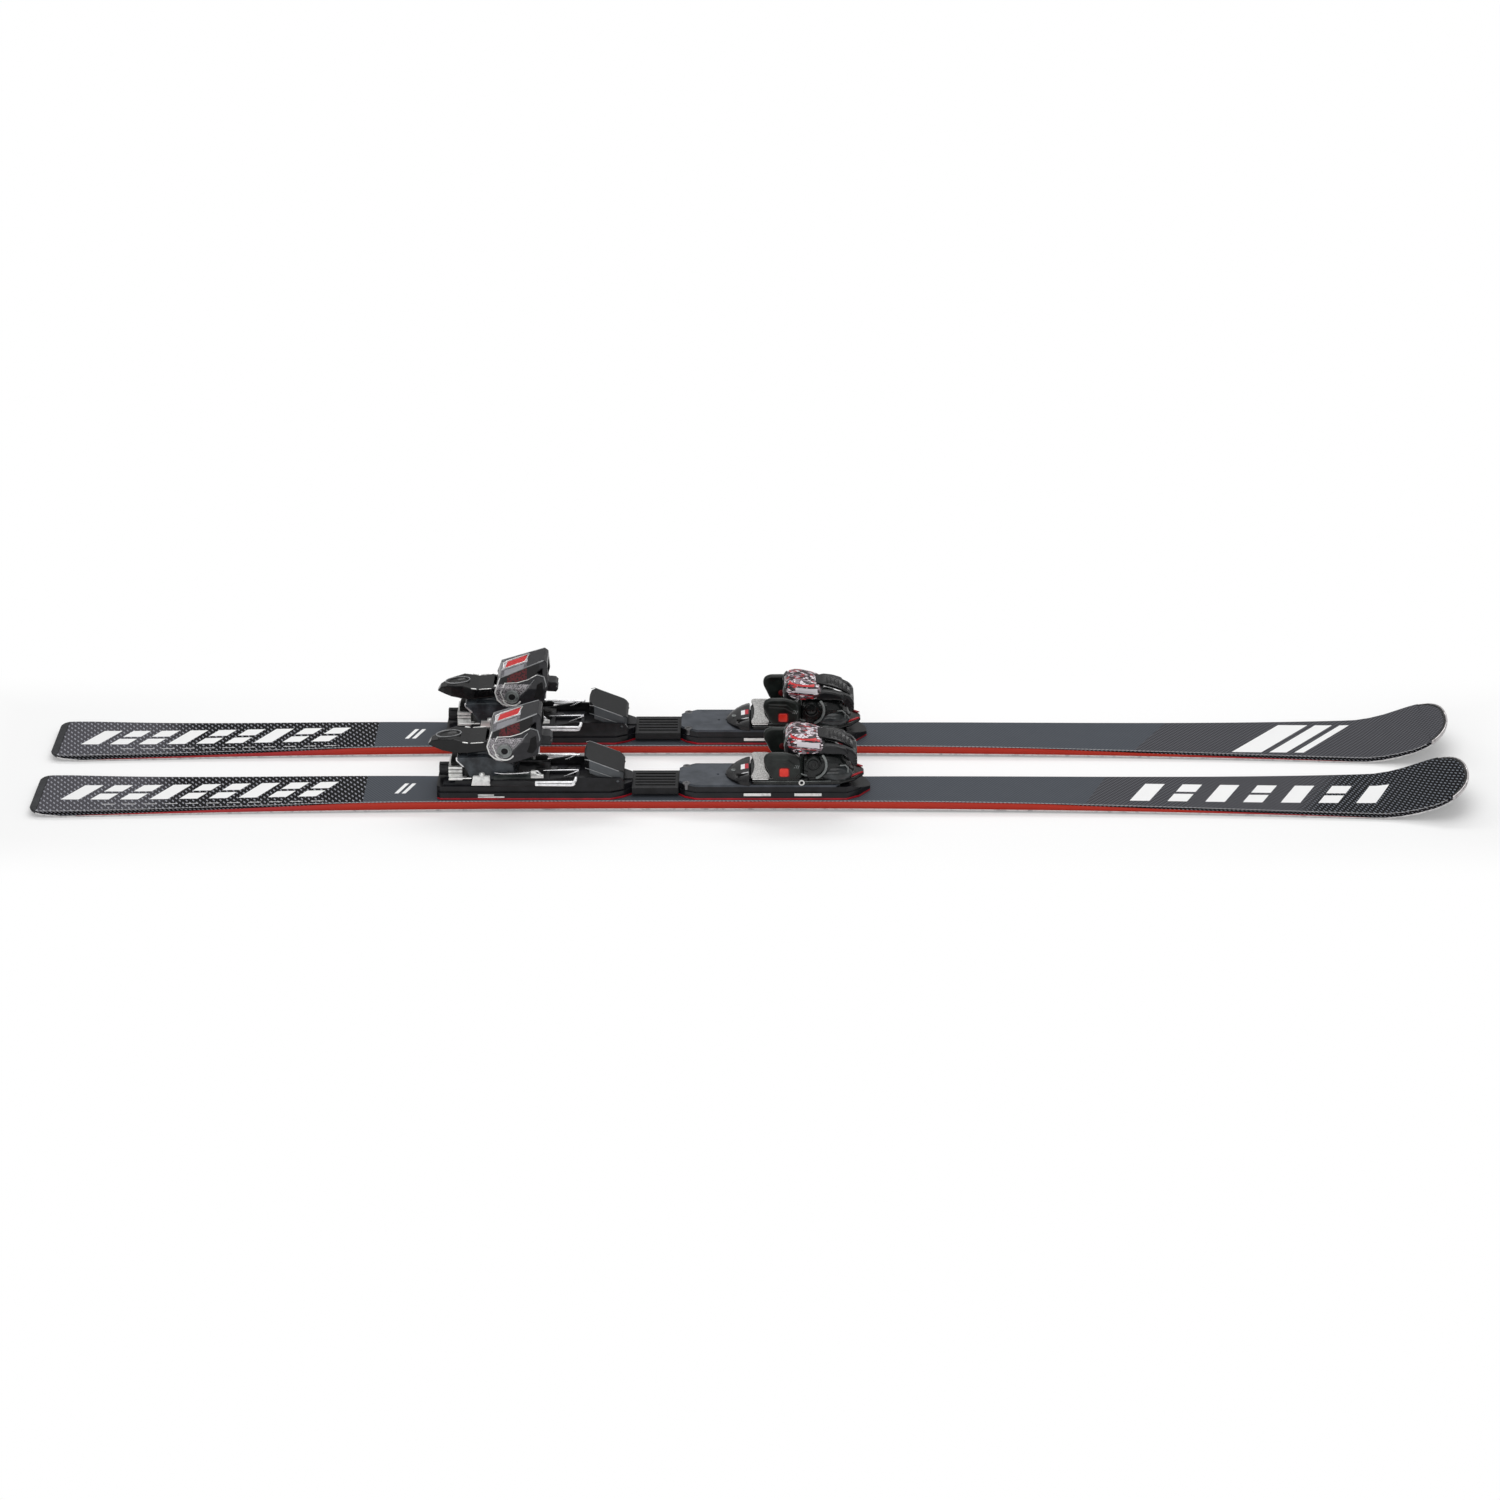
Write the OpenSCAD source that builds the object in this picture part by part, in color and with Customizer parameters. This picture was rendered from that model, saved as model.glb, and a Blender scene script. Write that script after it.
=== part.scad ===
// A pair of alpine race skis, each with a plate, a toe piece, a heel piece and a brake.
// +X runs towards the tips, +Z up. The origin is on the floor, midway between the skis.
// The binding modules are drawn with z = 0 on the ski's top face and y = 0 on its centreline.

/* [Ski] */
// Length over the tip and the tail
ski_length = 1790; // [1490:10:2150]
// Widest part of the shovel
tip_w = 122; // [116:1:130]
// Narrowest part, underfoot
waist_w = 70; // [69:1:80]
// Widest part of the tail
tail_w = 102; // [96:1:112]
// Height of the top face over the floor, underfoot
ski_top_h = 15; // [14:0.5:18]
// Free camber under the middle of the ski
camber = 2.5; // [1:0.5:5]
// Rise of the tip over the contact line
tip_rise = 39; // [20:1:50]
// Distance between the two centrelines
separation = 159; // [130:1:220]

/* [Layers] */
// Width and height of a steel edge
edge_size = 2; // [1.6:0.1:2.5]
// Thickness of the sidewall strip
sidewall_t = 3; // [2:0.5:5]
// Thickness of the topsheet
topsheet_t = 1; // [0.8:0.1:1.5]
// Width of the rim that protects the tip
tip_guard_w = 5; // [4:0.5:8]
// Length of the cap on the tail
tail_cap_l = 14; // [10:1:25]

/* [Plates] */
// Height of the plate's top face over the ski
plate_h = 17; // [14:0.5:21]
// Width of the plates
plate_w = 64; // [60:1:66]
// Height of the red rim under the plates
rim_h = 2.4; // [1.5:0.1:4]
// Height of the tracks on the plates
track_h = 3; // [2.5:0.5:5]

/* [Toe piece] */
// Boot rest over the track
toe_rest_h = 13; // [11:1:16]
// Width over the boot rest
toe_rest_w = 74; // [68:1:80]
// Distance of a wing's pin from the centreline
wing_pin_y = 27; // [25:1:30]
// Radius of a wing's pin
wing_pin_r = 2.5; // [2:0.25:3]
// Height of the wings
wing_h = 30; // [24:1:30]

/* [Heel piece] */
// Place of the heel axle along the ski
heel_axle_x = -303; // [-306:1:-300]
// Height of the heel axle over the ski
heel_axle_h = 68; // [64:1:72]
// Radius of the heel axle
heel_axle_r = 5; // [4:0.25:6]
// Width over the heel cup's side plates
cup_w = 66; // [62:1:80]
// Width of the step-out lever
lever_w = 44; // [36:1:46]

/* [Brake] */
// Width of the brake pad
brake_pad_w = 55; // [54:1:66]
// Radius of the brake wire
brake_wire_r = 2.2; // [1.8:0.1:3]
// Tilt of an arm's axis, which swings the arm outwards
arm_tilt = 20; // [15:1:25]

/* [Fits] */
// Gap between pieces that slide or swing past each other
gap = 0.3; // [0.2:0.05:0.5]
// Radial clearance of a pin in its hole
run = 0.05; // [0.03:0.01:0.08]

/* [Hidden] */
$fn = 48;

// Ski stations along X
tail_x = -ski_length / 2;
tip_x = ski_length / 2;
waist_x = -60;
shovel_x = tip_x - 50;
tail_wide_x = tail_x + 40;
front_contact_x = tip_x - 115;
rear_contact_x = tail_x + 90;
contact_flat = 15;
sidecut_power = 2.59;
shovel_roundness = 2 / 2.4;
plate_zone = [-410, 165];
end_top_h = 8;
tip_t = 6;
tail_lift = 7;
tail_lift_l = 32;
guard_x = tip_x - 28;
station_count = 20;
tip_steps = 12;

// Plates
rear_plate_x = [-389, -147];
front_plate_x = [-89, 150];
rear_tongue_x = [-157, -146];
rail_z = [4, 13];
groove_w = 16;
// Bright bars in the plates' sides, each from x0 to x1 and from z0 to z1
front_bars = [[-8, 26, 5, 9], [55, 89, 5, 9]];
rear_bars = [[-338, -305, 2.7, 4.8], [-338, -318, 5.6, 7.4]];
track_screw_r = 3;

// Plate height that the outlines of the toe piece, heel piece and brake are drawn over
drawn_plate_h = 17;

// Toe piece, heights over the ski with that plate
toe_track_x = [-88, 112];
toe_track_w = 62;
toe_groove_x = [-22, 110];
toe_floor = drawn_plate_h + track_h + gap;
rest_top = drawn_plate_h + track_h + toe_rest_h;
rest_t = 3;
deck_top = rest_top - rest_t - gap;
wing_z = [deck_top + gap, deck_top + gap + wing_h];
wing_pin_x = 60;
wing_knuckle_r = 6;
wing_t = 7;
wing_out_y = 40;
hood_floor = wing_z[1] + gap;
hood_x = [42, 133];
button_x = 42;
button_w = 11;
button_t = 3;
barrel_r = 13;
barrel_h = 47;
toe_screw_r = 6;
lock_x = [-30, 0];
lock_pin = [lock_x[1] - 2, rest_top - 2];

// Heel piece and brake, heights over the ski with that plate
heel_track_x = [-381, -213];
heel_track_w = 52;
carriage_x = [-366, -252];
carriage_z = [toe_floor, toe_floor + 4];
carriage_w = brake_pad_w - 0.2;
cup_t = 6;
cup_top_w = 38;
column_w = 32;
column_foot_w = 52;
lever_arm_w = 5.4;
lever_arm_r = 10;
frame_y = [brake_pad_w / 2 + 0.7, brake_pad_w / 2 + 3.7];
frame_x = [-262, -156];
pad_pin = [-164, 25];
pad_pin_r = 2;
arm_pivot = [-216, 27];
arm_y = frame_y[1] + 8.8;
hub_length = (arm_y - frame_y[1] - gap - brake_wire_r * sin(arm_tilt)) / cos(arm_tilt);
arm_length = 62;
foot_length = 40;
foot_r = 4.2;
knob_x = [-387, -375];
knob_r = 8.5;
knob_h = 28;
block_x = [-374.7, -360];

sides = [["right", -1], ["left", 1]];
common_nodes = ["ski_bases", "steel_edges", "wood_cores", "sidewalls", "topsheets", "end_guards",
    "rear_plates", "front_plates", "plate_rims", "plate_bars", "centre_rails", "toe_tracks",
    "heel_tracks", "mounting_screws"];
ski_nodes = ["toe_base", "toe_hood", "wing_pins", "toe_lock", "boot_rest", "outer_wing", "inner_wing",
    "outer_button", "inner_button", "toe_screw", "heel_carriage", "heel_column", "heel_axle", "heel_cup",
    "stepout_lever", "heel_screw", "pressure_knob", "heel_blocks", "brake_pad", "outer_brake_arm",
    "inner_brake_arm", "outer_brake_foot", "inner_brake_foot"];

// ---------- ski outline and thickness ----------

function unit(t) = max(0, min(1, t));
function ease(t) = t * t * (3 - 2 * t);
function mix(a, b, t) = a + (b - a) * t;

function half_width(x) = x > waist_x
    ? mix(waist_w, tip_w, pow((x - waist_x) / (shovel_x - waist_x), sidecut_power)) / 2
    : mix(waist_w, tail_w, pow(unit((waist_x - x) / (waist_x - tail_wide_x)), sidecut_power)) / 2;

// Half of the plan outline, set in by some distance, from the tail to the tip
function half_outline(inset) = concat(
    [[tail_x + inset, tail_w / 2 - 14 - inset], [tail_x + 5 + inset, tail_w / 2 - 4 - inset],
        [tail_x + 16 + inset, tail_w / 2 - inset]],
    [for (i = [1:station_count]) let (x = mix(tail_wide_x, shovel_x, i / station_count))
        [x, half_width(x) - inset]],
    [for (i = [1:tip_steps]) let (a = 90 * i / (tip_steps + 0.5))
        [shovel_x + (tip_x - shovel_x - inset) * pow(sin(a), shovel_roundness),
            (tip_w / 2 - inset) * pow(cos(a), shovel_roundness)]]);

function mirrored(points) = concat(points,
    [for (i = [len(points) - 1:-1:0]) [points[i][0], -points[i][1]]]);

function tip_curve(t) = pow(t, 1.7);

// Bottom face: flat contact lines, camber between them, and turned-up ends
function bottom_z(x) =
    x > front_contact_x ? tip_rise * tip_curve((x - front_contact_x) / (tip_x - front_contact_x))
    : x < tail_x + tail_lift_l ? tail_lift * pow((tail_x + tail_lift_l - x) / tail_lift_l, 1.4)
    : let (a = rear_contact_x + contact_flat, b = front_contact_x - contact_flat, t = unit((x - a) / (b - a)))
        4 * camber * t * (1 - t);

// Top face: level under the plates, falling to the contact lines
function top_z(x) =
    x > front_contact_x
        ? bottom_z(x) + mix(end_top_h, tip_t, (x - front_contact_x) / (tip_x - front_contact_x))
    : x > plate_zone[1]
        ? mix(ski_top_h, end_top_h, ease((x - plate_zone[1]) / (front_contact_x - plate_zone[1])))
    : x > plate_zone[0] ? ski_top_h
    : mix(ski_top_h, end_top_h + 1, ease(unit((plate_zone[0] - x) / (plate_zone[0] - rear_contact_x))));

function layer_z(x, layer) =
    layer == 0 ? bottom_z(x)
    : layer == 1 ? bottom_z(x) + edge_size
    : layer == 2 ? top_z(x) - topsheet_t
    : top_z(x);

stations = concat([tail_x], [for (i = [1:4]) tail_x + i * tail_lift_l / 4],
    [rear_contact_x, rear_contact_x + contact_flat],
    [for (i = [1:4]) mix(rear_contact_x + contact_flat, plate_zone[0], i / 4)],
    [for (i = [1:4]) mix(plate_zone[0], plate_zone[1], i / 4)],
    [for (i = [1:6]) mix(plate_zone[1], front_contact_x - contact_flat, i / 6)],
    [front_contact_x],
    [for (i = [1:tip_steps]) mix(front_contact_x, tip_x, i / tip_steps)]);

// ---------- helpers ----------

// A side outline in X and Z, extruded from y0 to y1
module side(points, y0, y1) {
    translate([0, y1, 0]) rotate([90, 0, 0]) linear_extrude(y1 - y0) polygon(points);
}

// A plan outline in X and Y, extruded from z0 to z1
module plan(points, z0, z1) {
    translate([0, 0, z0]) linear_extrude(z1 - z0) polygon(points);
}

// A front outline in Y and Z, extruded from x0 to x1
module front(points, x0, x1) {
    translate([x0, 0, 0]) rotate([90, 0, 90]) linear_extrude(x1 - x0) polygon(points);
}

// A box between two corners
module block(low, high) {
    translate(low) cube(high - low);
}

// A cylinder along Y
module across(x, z, r, y0, y1) {
    translate([x, y1, z]) rotate([90, 0, 0]) cylinder(h = y1 - y0, r = r);
}

// A cylinder along X
module along(y, z, r, x0, x1) {
    translate([x0, y, z]) rotate([0, 90, 0]) cylinder(h = x1 - x0, r = r);
}

module both_y() {
    children();
    mirror([0, 1, 0]) children();
}

module on_ski(dir) {
    translate([0, dir * separation / 2, ski_top_h]) children();
}

// Carries what stands on the plate, and rises with it
module on_plate(dir) {
    on_ski(dir) translate([0, 0, plate_h - drawn_plate_h]) children();
}

module on_floor(dir) {
    translate([0, dir * separation / 2, 0]) children();
}

// Turns an outer piece to the other ski, so that outer stays outer
module handed(dir) {
    if (dir > 0) children();
    else mirror([0, 1, 0]) children();
}

// ---------- ski layers ----------

module ski_slice(from, to) {
    points = concat([for (x = stations) [x, layer_z(x, from)]],
        [for (i = [len(stations) - 1:-1:0]) [stations[i], layer_z(stations[i], to)]]);
    side(points, -tip_w, tip_w);
}

module outline(inset) {
    polygon(mirrored(half_outline(inset)));
}

// The zone of the tip rim and the tail cap
module guard_zone() {
    translate([tail_x - 1, -tip_w]) square([tail_cap_l + 1, 2 * tip_w]);
    difference() {
        translate([guard_x, -tip_w]) square([tip_x, 2 * tip_w]);
        outline(tip_guard_w);
    }
}

module ski_prism() {
    translate([0, 0, -5]) linear_extrude(80) children();
}

module ski_layer(from, to) {
    intersection() {
        ski_slice(from, to);
        ski_prism() children();
    }
}

module ski_bases() {
    color("black") for (s = sides) on_floor(s[1]) ski_layer(0, 1) difference() {
        outline(edge_size);
        guard_zone();
    }
}

module steel_edges() {
    color("silver") for (s = sides) on_floor(s[1]) ski_layer(0, 1) difference() {
        outline(0);
        outline(edge_size);
        guard_zone();
    }
}

module wood_cores() {
    color("burlywood") for (s = sides) on_floor(s[1]) ski_layer(1, 2) difference() {
        outline(sidewall_t);
        guard_zone();
    }
}

module sidewalls() {
    color([0.72, 0.16, 0.1]) for (s = sides) on_floor(s[1]) ski_layer(1, 2) difference() {
        outline(0);
        outline(sidewall_t);
        guard_zone();
    }
}

module topsheets() {
    color([0.2, 0.22, 0.24]) for (s = sides) on_floor(s[1]) ski_layer(2, 3) difference() {
        outline(0);
        guard_zone();
    }
}

module end_guards() {
    color([0.06, 0.06, 0.06]) for (s = sides) on_floor(s[1]) ski_layer(0, 3) intersection() {
        outline(0);
        guard_zone();
    }
}

// ---------- plates ----------

function rear_plate_plan(w) = mirrored([[rear_plate_x[0], w / 2 - 3], [rear_plate_x[0] + 4, w / 2],
    [rear_plate_x[1] - 26, w / 2], [rear_plate_x[1] - 10, w / 2 - 7], [rear_plate_x[1], w / 2 - 15]]);

function front_plate_plan(w) = mirrored([[front_plate_x[0], w / 2 - 14], [front_plate_x[0] + 8, w / 2 - 6],
    [front_plate_x[0] + 22, w / 2], [front_plate_x[1] - 30, w / 2], [front_plate_x[1] - 14, w / 2 - 9],
    [front_plate_x[1], 5]]);

module plate_screw_hole(x, y) {
    translate([x, y, plate_h - 6]) cylinder(h = 7, r = track_screw_r);
}

// Places of the screws that hold the tracks, in X and Y
toe_screw_places = [for (y = [-24, 24]) [toe_track_x[0] + 9, y]];
heel_screw_places = [for (y = [-20, 20]) for (x = [heel_track_x[1] - 10, heel_track_x[1] - 32]) [x, y]];

module bar_slot(b) {
    both_y() block([b[0], plate_w / 2 - 2, b[2]], [b[1], plate_w / 2 + 1, b[3]]);
}

module rear_plates() {
    color([0.1, 0.1, 0.11]) for (s = sides) on_ski(s[1]) difference() {
        union() {
            plan(rear_plate_plan(plate_w), rim_h, plate_h * 0.55);
            plan(rear_plate_plan(plate_w - 5), plate_h * 0.55, plate_h);
            block([rear_tongue_x[0], -9, plate_h], [rear_tongue_x[1], 9, plate_h + 1.6]);
        }
        for (p = heel_screw_places) plate_screw_hole(p[0], p[1]);
        for (b = rear_bars) bar_slot(b);
    }
}

module front_plates() {
    color([0.1, 0.1, 0.11]) for (s = sides) on_ski(s[1]) difference() {
        union() {
            plan(front_plate_plan(plate_w), rim_h, plate_h * 0.55);
            plan(front_plate_plan(plate_w - 3), plate_h * 0.55, plate_h);
        }
        // slope down to the front end
        side([[front_plate_x[1] - 26, plate_h], [front_plate_x[1] + 1, plate_h * 0.35],
            [front_plate_x[1] + 1, plate_h + 1], [front_plate_x[1] - 26, plate_h + 1]], -plate_w, plate_w);
        for (p = toe_screw_places) plate_screw_hole(p[0], p[1]);
        for (b = front_bars) bar_slot(b);
    }
}

module plate_rims() {
    color([0.7, 0.05, 0.08]) for (s = sides) on_ski(s[1]) {
        plan(rear_plate_plan(plate_w + 1.6), 0, rim_h);
        plan(front_plate_plan(plate_w + 1.6), 0, rim_h);
    }
}

// Bright bars set in the sides of the plates
module plate_bars() {
    color("silver") for (s = sides) on_ski(s[1]) both_y() for (b = concat(front_bars, rear_bars))
        block([b[0] + 0.1, plate_w / 2 - 1.9, b[2] + 0.1], [b[1] - 0.1, plate_w / 2 + 0.4, b[3] - 0.1]);
}

module centre_rails() {
    color([0.05, 0.05, 0.05]) for (s = sides) on_ski(s[1]) difference() {
        block([rear_plate_x[1], -25, rail_z[0]], [front_plate_x[0], 25, rail_z[1]]);
        for (y = [-16, -8, 0, 8, 16])
            block([rear_plate_x[1] + 4, y - 1.5, rail_z[1] - 2],
                [front_plate_x[0] - 4, y + 1.5, rail_z[1] + 1]);
    }
}

module track_screw_hole(x, y, top) {
    translate([x, y, plate_h - 1]) cylinder(h = track_h + 2, r = track_screw_r);
    translate([x, y, top - 1.6]) cylinder(h = 3, r = track_screw_r + 2);
}

module toe_tracks() {
    color([0.24, 0.26, 0.28]) for (s = sides) on_ski(s[1]) difference() {
        plan(mirrored([[toe_track_x[0], 18], [toe_track_x[0] + 5, toe_track_w / 2 - 8],
            [toe_track_x[0] + 20, toe_track_w / 2], [toe_track_x[1] - 6, toe_track_w / 2],
            [toe_track_x[1], toe_track_w / 2 - 5]]), plate_h, plate_h + track_h);
        block([toe_groove_x[0], -groove_w / 2, plate_h - 1],
            [toe_groove_x[1], groove_w / 2, plate_h + track_h + 1]);
        for (x = [-40, -30]) translate([x, 0, plate_h + 1]) cylinder(h = 3, r = 1.6);
        for (p = toe_screw_places) track_screw_hole(p[0], p[1], plate_h + track_h);
    }
}

module heel_tracks() {
    color([0.15, 0.16, 0.17]) for (s = sides) on_ski(s[1]) difference() {
        block([heel_track_x[0], -heel_track_w / 2, plate_h],
            [heel_track_x[1], heel_track_w / 2, plate_h + track_h]);
        block([heel_track_x[0] - 1, -groove_w / 2, plate_h - 1],
            [heel_track_x[1] - 4, groove_w / 2, plate_h + track_h + 1]);
        for (i = [0:5]) both_y()
            block([-242 + 5 * i, 11, plate_h + 1.8], [-240 + 5 * i, 16, plate_h + track_h + 1]);
        for (p = heel_screw_places) track_screw_hole(p[0], p[1], plate_h + track_h);
    }
}

module mounting_screw(x, y) {
    translate([x, y, plate_h - 6]) cylinder(h = 6 + track_h - 1.6, r = track_screw_r);
    difference() {
        translate([x, y, plate_h + track_h - 1.6]) cylinder(h = 1.4, r = track_screw_r + 1.9);
        for (a = [0, 90]) translate([x, y, plate_h + track_h]) rotate([0, 0, a])
            cube([4.4, 0.9, 2], center = true);
    }
}

module mounting_screws() {
    color("gray") for (s = sides) on_ski(s[1]) for (p = concat(toe_screw_places, heel_screw_places))
        mounting_screw(p[0], p[1]);
}

// ---------- toe piece ----------

module toe_base() {
    color([0.13, 0.13, 0.14]) difference() {
        union() {
            // key in the track's groove
            block([4, -groove_w / 2 + gap, drawn_plate_h + gap], [88, groove_w / 2 - gap, toe_floor + 1]);
            // deck under the boot rest and the wings
            plan(mirrored([[lock_x[1] + 0.4, 22], [4, 33], [20, 34], [60, 34], [112, 32], [132, 22],
                [142, 7]]), toe_floor, toe_floor + 6);
            plan(mirrored([[lock_x[1] + 0.4, 22], [4, 33], [20, 34], [66, 34], [72, 30]]),
                toe_floor + 5, deck_top);
            // housing in front of the wings
            intersection() {
                side([[66.5, toe_floor + 4], [66.5, hood_floor - 2], [72, hood_floor - gap],
                    [100, hood_floor - gap], [116, barrel_h + barrel_r], [124, 40],
                    [128, toe_floor + 4]], -30, 30);
                front([[-30, toe_floor], [-29, 42], [-20, hood_floor], [20, hood_floor], [29, 42],
                    [30, toe_floor]], 60, 130);
            }
            // round bosses on the sides
            across(77, 49, 11, -33, 33);
        }
        // channel for the spring and its screw
        along(0, barrel_h, toe_screw_r + run, 90, 140);
        // pin holes
        both_y() translate([wing_pin_x, wing_pin_y, deck_top - 5]) cylinder(h = 7, r = wing_pin_r);
    }
}

module toe_hood() {
    color([0.09, 0.09, 0.1]) difference() {
        intersection() {
            side([[hood_x[0], hood_floor], [hood_x[0] + 2, 75], [48, 81], [57, 85.5], [68, 84.5], [88, 79],
                [106, 74.5], [117, 70], [127, 63], [hood_x[1], 56], [hood_x[1], 45], [hood_x[1] - 6, 41],
                [119, 60], [108, hood_floor]], -30, 30);
            front([[-29, 40], [-29, 69], [-16, 86], [16, 86], [29, 69], [29, 40]],
                hood_x[0] - 1, hood_x[1] + 1);
            plan(mirrored([[hood_x[0], 22], [hood_x[0] + 5, 29], [112, 29], [125, 25], [hood_x[1], 15]]),
                40, 90);
        }
        // see-through window behind the front bar
        side([[92, 66.5], [112, 63.5], [108, 68.5], [96, 72]], -31, 31);
        // opening that leads a driver to the screw
        block([118, -9, 30], [150, 9, 53.5]);
        // pin holes
        both_y() translate([wing_pin_x, wing_pin_y, hood_floor - 1]) cylinder(h = 4, r = wing_pin_r);
    }
}

module wing_pins() {
    color("silver") both_y() translate([wing_pin_x, wing_pin_y, deck_top - 5])
        cylinder(h = hood_floor + 3 - deck_top + 5, r = wing_pin_r);
}

// Wing on the side of positive y
module wing() {
    difference() {
        union() {
            translate([wing_pin_x, wing_pin_y, wing_z[0]]) cylinder(h = wing_h, r = wing_knuckle_r);
            intersection() {
                plan([[18, wing_out_y - 4], [22, wing_out_y - wing_t], [44, wing_out_y - wing_t - 1],
                    [52, wing_pin_y - 5], [wing_pin_x, wing_pin_y - 5], [wing_pin_x + 2, wing_pin_y + 5],
                    [58, wing_out_y - 3], [50, wing_out_y], [20, wing_out_y], [18, wing_out_y - 2]],
                    wing_z[0], wing_z[1]);
                side([[18, wing_z[0] + 21], [25.5, wing_z[0] + 4.5], [29, wing_z[0]], [70, wing_z[0]],
                    [70, wing_z[1]], [27, wing_z[1]], [22, wing_z[1] - 3]], 15, 45);
            }
            // cheek that rises beside the hood
            intersection() {
                plan([[18, wing_out_y - 4], [22, wing_out_y - wing_t], [52, wing_out_y - wing_t],
                    [56, wing_out_y - 4], [50, wing_out_y], [20, wing_out_y], [18, wing_out_y - 2]],
                    wing_z[0] + 10, wing_z[1] + 8);
                side([[17, wing_z[1] - 9], [30, wing_z[1] - 16], [56, wing_z[1] - 10], [56, wing_z[1] + 2],
                    [46, wing_z[1] + 7], [26, wing_z[1] + 7], [19, wing_z[1] + 4]], 15, 45);
            }
        }
        translate([wing_pin_x, wing_pin_y, wing_z[0] - 1]) cylinder(h = wing_h + 2, r = wing_pin_r + run);
        block([button_x - button_w / 2, wing_out_y - button_t + 1, wing_z[0] + 6],
            [button_x + button_w / 2, wing_out_y + 1, wing_z[0] + 6 + button_w]);
    }
}

// Plug set in the outer face of a wing
module button() {
    edge = button_w / 2;
    translate([button_x, 0, wing_z[0] + 6 + edge]) side([[-edge, 2 - edge], [2 - edge, -edge],
        [edge - 2, -edge], [edge, 2 - edge], [edge, edge - 2], [edge - 2, edge], [2 - edge, edge],
        [-edge, edge - 2]], wing_out_y - button_t + 1, wing_out_y + 1);
}

module boot_rest() {
    w = toe_rest_w / 2;
    color([0.75, 0.75, 0.76]) difference() {
        plan(mirrored([[6, 6], [2, w - 14], [1.6, w - 3], [4, w], [22, w], [24.5, w - 4], [23, w - 14],
            [18.5, w - 27], [18, 6]]), rest_top - rest_t, rest_top);
        for (y = [-24:8:24]) block([1, y - 0.6, rest_top - 0.8], [26, y + 0.6, rest_top + 1]);
    }
}

// Wedge behind the boot rest that locks the toe piece on its track
module toe_lock() {
    color([0.05, 0.05, 0.05]) difference() {
        intersection() {
            plan(mirrored([[lock_x[0], 6], [lock_x[0] + 7, 20], [lock_x[0] + 16, 31], [lock_x[1], 36]]),
                toe_floor, rest_top + 1);
            side([[lock_x[0], toe_floor], [lock_x[0], toe_floor + 2], [lock_x[1] - 4, rest_top - 1],
                [lock_x[1], rest_top - 1], [lock_x[1], toe_floor]], -40, 40);
        }
        // scale window and slot in the top
        block([-11, -7, rest_top - 6], [-2.5, 4, rest_top + 1]);
        block([-14, -21, rest_top - 7], [-3, -19.4, rest_top + 1]);
        translate([-19, 0, toe_floor + 3]) cylinder(h = 20, r = 2.4);
    }
}

module toe_screw() {
    color("dimgray") difference() {
        along(0, barrel_h, toe_screw_r, 92, 128);
        block([125, -0.8, barrel_h - 5], [129, 0.8, barrel_h + 5]);
    }
}

// ---------- heel piece ----------

module heel_carriage() {
    color([0.12, 0.12, 0.13]) {
        difference() {
            union() {
                block([carriage_x[0], -carriage_w / 2, carriage_z[0]],
                    [carriage_x[1], carriage_w / 2, carriage_z[1]]);
                block([carriage_x[0] + 8, -groove_w / 2 + gap, drawn_plate_h + gap],
                    [-268, groove_w / 2 - gap, carriage_z[0] + 1]);
                both_y() side([[carriage_x[0] + 60, drawn_plate_h + gap],
                    [frame_x[1] - 4, drawn_plate_h + gap],
                    [frame_x[1], drawn_plate_h + 6], [frame_x[1] - 4, 29], [arm_pivot[0] - 8, 31],
                    [frame_x[0], carriage_z[1]], [carriage_x[0] + 60, carriage_z[1]]],
                    carriage_w / 2 - 0.1, frame_y[1]);
                block([-262, -carriage_w / 2, carriage_z[0]], [-250, carriage_w / 2, carriage_z[1]]);
            }
            across(pad_pin[0], pad_pin[1], pad_pin_r + run, -40, 40);
            both_y() block([frame_x[0] + 12, 20, drawn_plate_h], [frame_x[1] + 9, frame_y[0], 40]);
        }
    }
}

module heel_column() {
    color([0.2, 0.21, 0.22]) difference() {
        union() {
            side([[-352, 40], [-350, 56], [-338, 57.5], [-322, 60], [heel_axle_x - 8, 76],
                [heel_axle_x + 3, 78], [heel_axle_x + 9, 72], [heel_axle_x + 9, 48], [-296, 36]],
                -column_w / 2, column_w / 2);
            side([[-347, carriage_z[1]], [-351, 36], [-356, 43], [-364, 51], [-363, 54.5], [-330, 55.5], [-312, 54],
                [heel_axle_x + 9, 46], [-292, 36], [-288, carriage_z[1]]],
                -column_foot_w / 2, column_foot_w / 2);
        }
        across(heel_axle_x, heel_axle_h, heel_axle_r, -20, 20);
        along(0, 42, toe_screw_r + run, -368, -330);
    }
}

module heel_axle() {
    color("silver") {
        across(heel_axle_x, heel_axle_h, heel_axle_r, -cup_w / 2 - gap, cup_w / 2 + gap);
        both_y() difference() {
            across(heel_axle_x, heel_axle_h, heel_axle_r + 4, cup_w / 2 + gap, cup_w / 2 + 3);
            across(heel_axle_x, heel_axle_h, 3, cup_w / 2 + 1.5, cup_w / 2 + 4);
        }
    }
}

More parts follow.
